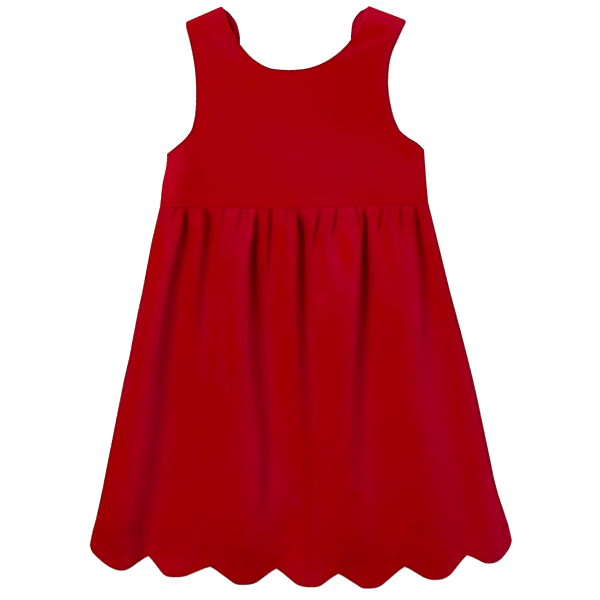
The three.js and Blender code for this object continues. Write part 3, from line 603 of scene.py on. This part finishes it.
def cloth_grid(name, places, facing_up):
    """A sheet with its points at places[row, column], lowest row first: x, y and height in mm, then its
    painted sheen and painted shading there. Its outside faces up or down."""
    rows, columns = places.shape[0] - 1, places.shape[1] - 1
    bpy.ops.object.select_all(action="DESELECT")
    bpy.ops.mesh.primitive_grid_add(x_subdivisions=columns, y_subdivisions=rows, size=1.0,
                                    location=(0, 0, 0))
    sheet = bpy.context.object
    sheet.name = name
    flat = np.empty(len(sheet.data.vertices) * 3)
    sheet.data.vertices.foreach_get("co", flat)
    flat = flat.reshape(-1, 3)
    column = np.rint((flat[:, 0] + 0.5) * columns).astype(int)
    row = np.rint((flat[:, 1] + 0.5) * rows).astype(int)
    sheet.data.vertices.foreach_set("co", (places[row, column, :3] / 1000).ravel())
    for k, painted_map in ((3, "painted_sheen_map"), (4, "painted_shading_map")):
        values = sheet.data.attributes.new(painted_map, "FLOAT", "POINT")
        values.data.foreach_set("value", places[row, column, k])
    if not facing_up:
        bpy.ops.object.mode_set(mode="EDIT")
        bpy.ops.mesh.select_all(action="SELECT")
        bpy.ops.mesh.flip_normals()
        bpy.ops.object.mode_set(mode="OBJECT")
    return sheet


def thicken(sheet, thickness, round_edge):
    """Gives a sheet its thickness inwards in mm and rounds its cut edges by so many mm."""
    wall = sheet.modifiers.new("wall", "SOLIDIFY")
    wall.thickness = thickness / 1000
    wall.offset = -1
    bpy.ops.object.modifier_apply(modifier=wall.name)
    edge = sheet.modifiers.new("turned_edge", "BEVEL")
    edge.width = round_edge / 1000
    edge.segments = 2
    edge.limit_method = "ANGLE"
    edge.angle_limit = math.radians(75)
    bpy.ops.object.modifier_apply(modifier=edge.name)
    bpy.ops.object.shade_smooth()


def skirt_places(grid, surface, facing_up, hem_rise, seam_rise):
    """Points of a skirt panel from the hem up to the waist, with a quarter turn of cloth down each side."""
    columns, rows = grid
    ends = {"waist": (WAIST_SEAM["x"][0], WAIST_SEAM["x"][-1]),
            "hem": (HEM_CORNER[0], SCALLOPS[-1]["end"][0])}
    inner = np.linspace(0, 1, columns - 2 * ROLL_COLUMNS + 1)
    turn = np.linspace(math.pi / 2, 0, ROLL_COLUMNS, endpoint=False)
    rolled = SIDE_REACH * (1 - np.sin(turn))
    across = {}
    for name, (low, high) in ends.items():
        flat = low + SIDE_REACH + (high - low - 2 * SIDE_REACH) * inner
        if name == "hem":
            straight_hem, flat = flat, notch_aligned(flat)
        across[name] = np.concatenate([low + rolled, flat, high - rolled[::-1]])
    unaligned = np.concatenate([ends["hem"][0] + rolled, straight_hem, ends["hem"][1] - rolled[::-1]])
    place = (unaligned - unaligned[0]) / (unaligned[-1] - unaligned[0])
    flat_part = slice(ROLL_COLUMNS, -ROLL_COLUMNS)
    drop = (SIDE_EDGE - SIDE_GAP) / 2 * (1 - np.cos(turn)) * (-1 if facing_up else 1)
    # Painted shade on the cut edge, fading round the side's turn.
    painted_rim_shade = PAINTED_EDGE_SHADE["crush"] * np.sin(turn) ** PAINTED_EDGE_SHADE["skirt_side"]
    places = np.zeros((rows + 1, columns + 1, 5))
    for r in range(rows + 1):
        share = (1 - r / rows) ** ROW_SPACING
        x = across["waist"] * (1 - share) + unaligned * share
        x += (across["hem"] - unaligned) * eased(share, ALIGNED_FROM, 1)
        x += swing(share, "left") * -(1 - place) + swing(share, "right") * place
        y = seam_y(across["waist"]) + seam_rise - SEAM_LINE / 2
        y = y * (1 - share) + (hem_y(across["hem"]) + hem_rise) * share
        flat_x = x[flat_part]
        from_side = np.minimum(flat_x - flat_x[0], flat_x[-1] - flat_x)
        height, bloom, crush = surface(flat_x, y[flat_part], from_side)
        side = SIDE_EDGE if facing_up else 0
        height = np.concatenate([side + drop, height, side + drop[::-1]])
        bloom = np.pad(bloom, ROLL_COLUMNS, mode="edge")
        crush = np.pad(crush, ROLL_COLUMNS, mode="edge")
        crush[:ROLL_COLUMNS] += painted_rim_shade
        crush[-ROLL_COLUMNS:] += painted_rim_shade[::-1]
        places[r] = np.stack([x, y, height, bloom, crush], axis=1)
    return places


front_skirt = cloth_grid(
    "velvet_front_skirt", skirt_places(FRONT_SKIRT_GRID, front_skirt_surface, True, 0.0, 0.0), True)
thicken(front_skirt, SKIRT_CLOTH, SKIRT_ROUND)
skirt_velvet = cotton_velvet("cotton_velvet_skirt")
front_skirt.data.materials.append(skirt_velvet)
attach(front_skirt, "root")
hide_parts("front_skirt")


# The back skirt: the same panel again, lying on the table under the front one. Its gathers are pressed flat
# by the weight on them, so they show as shallow hollows below the waist seam, which lies a little above the
# front one.
BACK_SEAM_RISE = 1.0
BACK_HEM_RISE = 1.6
BACK_SKIRT_GRID = (200, 90)
BACK_DROP = 368  # from its seam to the hem
# The last entry is the painted shade in the gathers' hollows.
BACK_GATHERS = {"count": 24, "rise": 0.9, "reach": 110, "uneven": 0.35, "beat": 1.9, "crush": 0.3}
# Painted sheen over the back skirt, uneven at random.
BACK_SKIRT_PAINTED_SHEEN = {"bloom": 0.3, "uneven": 0.5}


def back_skirt_surface(x, y, from_side):
    """Height of the back skirt in mm, and its painted sheen and painted shading."""
    down = np.maximum(0, seam_y(x) + BACK_SEAM_RISE - y)
    share = down / BACK_DROP
    left = WAIST_SEAM["x"][0] + (HEM_CORNER[0] - WAIST_SEAM["x"][0]) * share
    right = WAIST_SEAM["x"][-1] + (SCALLOPS[-1]["end"][0] - WAIST_SEAM["x"][-1]) * share
    across = (x - left) / (right - left) * BACK_GATHERS["count"]
    size = 1 - BACK_GATHERS["uneven"] * (1 + np.sin(across * BACK_GATHERS["beat"]))
    fade = 1 - eased(down, 0, BACK_GATHERS["reach"])
    wave = 0.5 - 0.5 * np.cos(2 * math.pi * across)
    height = BACK_GATHERS["rise"] * size * fade * wave * eased(from_side, 0, SIDE_SLOPE)
    # Painted sheen, uneven at random, and painted shade in the gathers' hollows.
    bloom = BACK_SKIRT_PAINTED_SHEEN["bloom"] + BACK_SKIRT_PAINTED_SHEEN["uneven"] * wander(x, y, "back_skirt")
    return height, np.clip(bloom, 0, 1), BACK_GATHERS["crush"] * size * fade * wave


back_skirt = cloth_grid(
    "velvet_back_skirt",
    skirt_places(BACK_SKIRT_GRID, back_skirt_surface, False, BACK_HEM_RISE, BACK_SEAM_RISE), False)
thicken(back_skirt, SKIRT_CLOTH, SKIRT_ROUND)
back_skirt.data.materials.append(skirt_velvet)
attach(back_skirt, "root")
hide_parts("back_skirt")


# The front bodice: velvet faced with the same velvet, cut in one with its two straps, which fold over at the
# shoulders. It lies smooth, with a soft roll at its side and shoulder folds, a few creases on the straps, and
# the facing's edge just showing as a line along the neckline and the armholes.
BODICE_CLOTH = 2.0
BODICE_ROUND = 0.35
BODICE_TOP = 4.75  # height of its outside where it lies flat
BODICE_SLOPE = {"side": 34, "shoulder": 58}  # how far in from a fold it lies flat
SHOULDER_EDGE = 7.8  # thickness of the whole dress at its shoulder folds
SHOULDER_REACH = 8.0  # how far down from them the cloth starts to turn over
HALF_COLUMNS = 80  # from a side fold to the middle
SIDE_ROWS, UNDERARM_ROWS, STRAP_ROWS, SHOULDER_ROWS = 34, 30, 84, 10
CENTRE_ROWS = SIDE_ROWS + UNDERARM_ROWS
CENTRE_STRIP = 1.6  # the width between the two halves
UNDERARM_SHARE = 0.24  # share of the armhole that the rows of the underarm take
UNROLL = 16.0  # how far along the armhole the side's turned edge flattens out
LEFT_SIDE = [(-140.9, 89.4), (-138.3, 113), (-134.2, 134), (-133.8, 143)]
LEFT_ARMHOLE = [(-133.8, 143), (-122.8, 151.6), (-115.5, 158.3), (-109.7, 166.2), (-106.7, 177),
                (-104.8, 203), (-106.2, 229), (-110.4, 252), (-116.2, 274.1)]
RIGHT_SIDE = [(127.5, 93), (125.8, 112), (123.2, 147.4)]
RIGHT_ARMHOLE = [(123.2, 147.4), (116, 154), (108.8, 158.3), (99.3, 166.2), (95.4, 173.5), (89.5, 194),
                 (87.4, 216), (91.8, 245), (96.2, 255), (106, 276.2)]
LEFT_FRONT_NECK = [(-11.5, 226.7), (-18, 227), (-30, 228.4), (-45, 236), (-60, 251.6), (-69.6, 267),
                   (-78.3, 290.6)]
RIGHT_FRONT_NECK = [(-11.5, 226.7), (-5, 227), (9, 229), (27, 236.6), (44, 250), (56.4, 267), (66.8, 291)]

# Its last entry is the painted shade along the facing's line.
FACING = {"width": 5.6, "fade": 1.5, "step": 0.1, "groove": 0.06, "half": 1.0, "crush": 0.05}
# Painted highlight on the straps' inner edges, which stand up: from how far up, and less on the left one.
PAINTED_HIGHLIGHT_RIM = {"starts": (252, 262), "half": 0.6, "bloom": 0.8, "crush": -1.1, "left": 0.6}
# Painted shadow that the left front strap casts on the back strap beside it.
STRAP_PAINTED_SHADOW = {"from": (-79, 288), "to": (-64, 257), "half": 3.0, "crush": 1.0}  # between the left straps
SHOULDER_ROUND = {"armhole": 3.4, "neck": 2.0}  # radius at the two ends of a shoulder fold
SIDE_SWELL = {"at": 13.0, "half": 9.0, "left": 1.9, "right": 0.9}  # the soft roll beside the side folds
SEAM_SWELL = {"rise": 0.45, "reach": 14}  # over the seam allowances at the waist
WAVES = {"rise": 0.25, "x": (31, 90), "y": (47, 38)}  # two crossing waves of the laid cloth
# Painted sheen just inside the armholes, stronger and wider on the right.
ARMHOLE_PAINTED_SHEEN = {"at": 2, "left": 0.05, "left_wide": 2, "right": 0.5, "right_wide": 4}
# Painted sheen over the whole front bodice.
BODICE_PAINTED_SHEEN = 0.08
# Painted sheen on the back bodice, uneven at random and more on the straps.
BACK_BODICE_PAINTED_SHEEN = {"all": 0.25, "uneven": 0.3, "straps": 0.5, "straps_start": (235, 262)}
# Painted sheen and painted shading on the bodice, in the same way.
BODICE_PAINTED_LIGHT = named("x y half_x half_y bloom crush", [
    (-124, 136, 11, 16, 0.35, -0.17),
    (-131, 112, 7, 26, 0.35, -0.22),
    (-15, 155, 50, 28, 0.14, 0),
    (45, 130, 66, 28, 0.24, 0),
    (112, 122, 16, 26, 0.14, 0),
    (62, 205, 44, 42, -0.12, 0.11),
    (-107, 112, 14, 34, -0.06, 0.07),
    (104, 150, 14, 14, -0.15, 0.07),
    (80, 182, 8, 12, 0, 0.05),
    (-88, 257, 20, 14, 0.2, 0),
    (-84, 281, 28, 9, 0.5, 0),
    (80, 284, 30, 11, 1.0, -0.15),
    (97, 268, 10, 12, 0.5, -0.06),
    (22, 95, 22, 5, 0.1, -0.08),
    (-40, 93, 34, 7, -0.08, 0),
    (30, 105, 30, 4, -0.05, 0),
    (96, 178, 9, 16, -0.25, 0),
    (108, 148, 8, 10, -0.2, 0),
    (48, 243, 10, 8, 0.3, 0),
])
# Creases and soft swells of the bodice, end to end: height, half width, painted sheen and painted shading.
BODICE_CREASES = named("from to height half bloom crush", [
    ((48, 242), (90, 261), 0.8, 4.2, 0.12, 0),
    ((50, 244), (86, 260), 0, 2.8, 0.3, -0.1),
    ((56, 254), (80, 267), -0.9, 4.4, -0.45, 0.02),
    ((43, 238), (48, 241), 0.6, 2.5, 0.1, 0),
    ((-82, 257), (-62, 238), 0.6, 5.5, 0.5, 0),
    ((2, 97), (36, 100), 0.9, 6.0, 0.15, 0),
    ((-76, 96), (-46, 94), 0.6, 4.5, 0.1, 0),
])


def smooth_line(points):
    """A smooth line through points. Returns its length and a function from a share of it to a place."""
    corners = np.array(points, dtype=float)
    chord = np.concatenate([[0], np.cumsum(np.linalg.norm(np.diff(corners, axis=0), axis=1))])
    slopes = np.gradient(corners, chord, axis=0)
    t = np.linspace(0, chord[-1], 600)
    i = np.clip(np.searchsorted(chord, t, side="right") - 1, 0, len(chord) - 2)
    h = (chord[i + 1] - chord[i])[:, None]
    u = ((t - chord[i]) / (chord[i + 1] - chord[i]))[:, None]
    line = ((1 + 2 * u) * (1 - u) ** 2 * corners[i] + u * (1 - u) ** 2 * h * slopes[i]
            + u * u * (3 - 2 * u) * corners[i + 1] - u * u * (1 - u) * h * slopes[i + 1])
    far = np.concatenate([[0], np.cumsum(np.linalg.norm(np.diff(line, axis=0), axis=1))])
    return far[-1], lambda share: np.array([np.interp(share * far[-1], far, line[:, k]) for k in (0, 1)])


def front_bodice_surface(x, y, from_side, from_shoulder, from_neck, from_armhole):
    """Height of the front bodice in mm, and its painted sheen and painted shading."""
    flat = BODICE_TOP + SEAM_SWELL["rise"] * (1 - eased(y - seam_y(x), 0, SEAM_SWELL["reach"]))
    first_wave = np.sin(x / WAVES["x"][0] + y / WAVES["y"][0])
    flat += WAVES["rise"] * first_wave * np.sin(y / WAVES["y"][1] - x / WAVES["x"][1])
    swell = np.where(x < CENTRE_X, SIDE_SWELL["left"], SIDE_SWELL["right"])
    flat += swell * band(from_side - SIDE_SWELL["at"], SIDE_SWELL["half"])
    # Painted sheen and painted shading from the patches, and painted sheen over the whole bodice.
    bloom, crush = patched(x, y, BODICE_PAINTED_LIGHT)
    bloom += BODICE_PAINTED_SHEEN
    # Creases and swells, with painted sheen and painted shading along them.
    for crease in BODICE_CREASES:
        on_line = ridge(x, y, (crease["from"], crease["to"]), crease["half"])
        flat += crease["height"] * on_line
        bloom += crease["bloom"] * on_line
        crush += crease["crush"] * on_line
    beside = SIDE_EDGE + (flat - SIDE_EDGE) * eased(from_side, 0, BODICE_SLOPE["side"])
    height = SHOULDER_EDGE + (beside - SHOULDER_EDGE) * eased(from_shoulder, 0, BODICE_SLOPE["shoulder"])
    from_cut = np.minimum(from_neck, from_armhole)
    broken = np.clip(0.5 + 2 * wander(x, y, "bodice_facing"), 0, 1)
    line = broken * band(from_cut - FACING["width"], FACING["half"])
    on_facing = 1 - eased(from_cut, FACING["width"], FACING["width"] + FACING["fade"])
    height += FACING["step"] * on_facing - FACING["groove"] * line
    # A painted highlight along the straps' inner edges.
    on_strap = eased(y, *PAINTED_HIGHLIGHT_RIM["starts"])
    painted_highlight = on_strap * band(from_neck, PAINTED_HIGHLIGHT_RIM["half"])
    # Painted shade along the neckline below the straps and along the armholes.
    painted_rim_shade = PAINTED_EDGE_SHADE["crush"] * (1 - on_strap) * band(from_neck, PAINTED_EDGE_SHADE["half"])
    painted_rim_shade = np.maximum(painted_rim_shade, PAINTED_EDGE_SHADE["crush"] * band(from_armhole, PAINTED_EDGE_SHADE["half"]))
    # Painted sheen just inside the armholes.
    past = from_armhole - ARMHOLE_PAINTED_SHEEN["at"]
    bloom += np.where(x > 0, ARMHOLE_PAINTED_SHEEN["right"] * np.exp(-past / ARMHOLE_PAINTED_SHEEN["right_wide"]),
                      ARMHOLE_PAINTED_SHEEN["left"] * np.exp(-past / ARMHOLE_PAINTED_SHEEN["left_wide"]))
    bloom += PAINTED_HIGHLIGHT_RIM["bloom"] * painted_highlight
    # Painted shade along the facing's line and the cut edges.
    crush += FACING["crush"] * line + painted_rim_shade
    # Painted highlight on the straps' inner edges, weaker on the left.
    crush += PAINTED_HIGHLIGHT_RIM["crush"] * painted_highlight * np.where(x > 0, 1.0, PAINTED_HIGHLIGHT_RIM["left"])
    return height, np.clip(bloom, 0, MOST_PAINTED_SHEEN), np.clip(crush, PAINTED_HIGHLIGHT_RIM["crush"], 1)


def back_bodice_surface(x, y, from_side, from_shoulder, from_neck, from_armhole):
    """Height of the back bodice in mm, its painted sheen and painted shading, with a painted shadow
    behind the left strap.
    """
    # Painted sheen, uneven at random and more on the straps.
    bloom = BACK_BODICE_PAINTED_SHEEN["all"] + BACK_BODICE_PAINTED_SHEEN["uneven"] * wander(x, y, "back_bodice")
    bloom += BACK_BODICE_PAINTED_SHEEN["straps"] * eased(y, *BACK_BODICE_PAINTED_SHEEN["straps_start"])
    # A painted shadow behind the left front strap.
    painted_shadow = ridge(x, y, (STRAP_PAINTED_SHADOW["from"], STRAP_PAINTED_SHADOW["to"]), STRAP_PAINTED_SHADOW["half"])
    # Painted shade along the cut edges.
    painted_rim_shade = PAINTED_EDGE_SHADE["crush"] * band(np.minimum(from_neck, from_armhole), PAINTED_EDGE_SHADE["half"])
    return np.zeros_like(x), bloom * (1 - painted_shadow), STRAP_PAINTED_SHADOW["crush"] * painted_shadow + painted_rim_shade


def distance_to(plan, line_at):
    """How far points are from a smooth line."""
    line = np.array([line_at(share) for share in np.linspace(0, 1, 160)])
    return np.min(np.hypot(plan[:, :1] - line[:, 0], plan[:, 1:2] - line[:, 1]), axis=1)


def row_ends(side, armhole, neck, seam_rise):
    """For each row of half a bodice, from the waist up to where the strap turns over: its outer end, its
    inner end and how far along the armhole it starts. The lines are given as smooth_line returns them."""
    (side_length, side_at), (armhole_length, armhole_at), (neck_length, neck_at) = side, armhole, neck
    above_seam = seam_rise + SEAM_LINE / 2
    waist = np.array([CENTRE_X, seam_y(CENTRE_X) + above_seam])
    foot = neck_at(0)
    first_share = above_seam / side_length
    ends = []
    for r in range(CENTRE_ROWS + 1):
        if r <= SIDE_ROWS:
            edge, past = side_at(first_share + (1 - first_share) * r / SIDE_ROWS), 0
        else:
            share = (r - SIDE_ROWS) / UNDERARM_ROWS * UNDERARM_SHARE
            edge, past = armhole_at(share), share * armhole_length
        ends.append((edge, waist + (foot - waist) * r / CENTRE_ROWS, past))
    last_outer, last_inner = 1 - SHOULDER_REACH / armhole_length, 1 - SHOULDER_REACH / neck_length
    for r in range(1, STRAP_ROWS + 1):
        share = UNDERARM_SHARE + (last_outer - UNDERARM_SHARE) * r / STRAP_ROWS
        ends.append((armhole_at(share), neck_at(last_inner * r / STRAP_ROWS), share * armhole_length))
    return ends


def shoulder_rows(last, outer, inner, facing_up):
    """Rows of points that turn a strap's last row over to its shoulder fold, between two rounded ends."""
    span = np.linalg.norm(inner - outer)
    direction = (inner - outer) / span
    along_line = np.linspace(0, span, len(last))
    down_strap = np.array([direction[1], -direction[0]]) * (1 if inner[0] > outer[0] else -1)
    pulled = (pulled_in(along_line, SHOULDER_ROUND["armhole"])
              + pulled_in(span - along_line, SHOULDER_ROUND["neck"]))
    fold_line = outer + along_line[:, None] * direction + pulled[:, None] * down_strap
    rows = []
    for k in range(1, SHOULDER_ROWS + 1):
        angle = math.pi / 2 * k / SHOULDER_ROWS
        plan = last[:, :2] + (fold_line - last[:, :2]) * math.sin(angle)
        drop = (SHOULDER_EDGE - SIDE_GAP) / 2 * (1 - math.cos(angle))
        settle = (1 - math.cos(angle)) * ((SHOULDER_EDGE if facing_up else 0) - last[:, 2])
        height = last[:, 2] + settle + (-drop if facing_up else drop)
        # Painted shade fading round the shoulder fold.
        painted_rim_shade = PAINTED_EDGE_SHADE["crush"] * math.sin(angle) ** PAINTED_EDGE_SHADE["shoulder"]
        rows.append(np.column_stack([plan, height, last[:, 3], last[:, 4] + painted_rim_shade]))
    return rows


def bodice_half(side, armhole, neck, surface, facing_up, inset, seam_rise):
    """Rows of points of half a bodice from the waist up, each from the outer edge to the centre line or the
    neckline. inset is how far the armhole is cut back."""
    lines = [smooth_line(points) for points in (side, armhole, neck)]
    armhole_at, neck_at = lines[1][1], lines[2][1]
    fold_outer, fold_inner = armhole_at(1), neck_at(1)
    span = np.linalg.norm(fold_inner - fold_outer)
    along_fold = (fold_inner - fold_outer) / span
    rows = []
    for edge, inner, past in row_ends(*lines, seam_rise):
        bend = 1 - float(eased(past, 0, UNROLL))
        theta = max(bend, 0.02) * math.pi / 2
        inwards = (inner - edge) / np.linalg.norm(inner - edge)
        start = edge + inwards * inset * (1 - bend)
        turning = start + inwards * SIDE_REACH
        turn = np.linspace(1, 0, ROLL_COLUMNS, endpoint=False)
        roll = turning + (start - turning) * (np.sin(theta * turn) / math.sin(theta))[:, None]
        flat = turning + (inner - turning) * np.linspace(0, 1, HALF_COLUMNS - ROLL_COLUMNS + 1)[:, None]
        plan = np.concatenate([roll, flat])
        from_side = past + np.concatenate([np.zeros(ROLL_COLUMNS), np.linalg.norm(flat - turning, axis=1)])
        to_fold = plan - fold_outer
        on_fold = np.clip(to_fold @ along_fold, 0, span)[:, None] * along_fold
        from_shoulder = np.maximum(0, np.linalg.norm(to_fold - on_fold, axis=1) - SHOULDER_REACH)
        where = (plan[:, 0], plan[:, 1], from_side, from_shoulder, distance_to(plan, neck_at),
                 distance_to(plan, armhole_at))
        height, bloom, crush = surface(*where)
        front = front_bodice_surface(*where)[0]
        drop = (front[:ROLL_COLUMNS] - SIDE_GAP) / 2 - BODICE_CLOTH * math.cos(theta)
        drop = np.maximum(drop, 0) * (1 - np.cos(theta * turn)) / (1 - math.cos(theta))
        height[:ROLL_COLUMNS] += -drop if facing_up else drop
        # Painted shade along the side's turned edge, where it still turns over.
        painted_rim_shade = PAINTED_EDGE_SHADE["crush"] * np.sin(turn * math.pi / 2) ** PAINTED_EDGE_SHADE["bodice_side"]
        crush[:ROLL_COLUMNS] += bend * painted_rim_shade
        rows.append(np.column_stack([plan, height, bloom, crush]))
    return np.array(rows + shoulder_rows(rows[-1], fold_outer, fold_inner, facing_up))


def bodice(name, left, right, surface, facing_up, inset, seam_rise):
    """Both halves as one sheet, with the strip between them cut out above the foot of the neckline."""
    left_rows = bodice_half(*left, surface, facing_up, inset, seam_rise)
    right_rows = bodice_half(*right, surface, facing_up, inset, seam_rise)
    left_rows[:CENTRE_ROWS + 1, -1, 0] -= CENTRE_STRIP / 2
    right_rows[:CENTRE_ROWS + 1, -1, 0] += CENTRE_STRIP / 2
    places = np.concatenate([left_rows, right_rows[:, ::-1]], axis=1)
    columns = places.shape[1] - 1
    sheet = cloth_grid(name, places, facing_up)
    bpy.ops.object.mode_set(mode="EDIT")
    bpy.ops.mesh.select_mode(type="FACE")
    bpy.ops.mesh.select_all(action="DESELECT")
    bpy.ops.object.mode_set(mode="OBJECT")
    for polygon in sheet.data.polygons:
        row, column = divmod(polygon.index, columns)
        polygon.select = column == HALF_COLUMNS and row >= CENTRE_ROWS
    bpy.ops.object.mode_set(mode="EDIT")
    bpy.ops.mesh.delete(type="FACE")
    bpy.ops.object.mode_set(mode="OBJECT")
    return sheet


front_bodice = bodice("velvet_front_bodice", (LEFT_SIDE, LEFT_ARMHOLE, LEFT_FRONT_NECK),
                      (RIGHT_SIDE, RIGHT_ARMHOLE, RIGHT_FRONT_NECK), front_bodice_surface, True, 0.0, 0.0)
thicken(front_bodice, BODICE_CLOTH, BODICE_ROUND)
bodice_velvet = cotton_velvet("cotton_velvet_bodice")
front_bodice.data.materials.append(bodice_velvet)
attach(front_bodice, "root")
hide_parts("front_bodice")


# The back bodice: the same cloth and facing. Its neck is cut lower than the front one, and its straps bow in
# towards the neck, where they show beside the front straps.
BACK_ARMHOLE_INSET = 0.8
LEFT_BACK_NECK = [(-7, 170), (-13, 170.4), (-22, 172.5), (-40, 184), (-54, 207), (-60.5, 240), (-61.2, 264),
                  (-64.2, 274.3), (-70, 282.4), (-78.3, 290.6)]
RIGHT_BACK_NECK = [(-7, 170), (-1, 170.4), (8, 172.5), (27, 184), (42.4, 207), (49.3, 240), (50, 264),
                   (51.8, 275.4), (57.3, 283.6), (66.8, 291)]

back_bodice = bodice("velvet_back_bodice", (LEFT_SIDE, LEFT_ARMHOLE, LEFT_BACK_NECK),
                     (RIGHT_SIDE, RIGHT_ARMHOLE, RIGHT_BACK_NECK), back_bodice_surface, False,
                     BACK_ARMHOLE_INSET, BACK_SEAM_RISE)
thicken(back_bodice, BODICE_CLOTH, BODICE_ROUND)
back_bodice.data.materials.append(bodice_velvet)
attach(back_bodice, "root")
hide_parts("back_bodice")
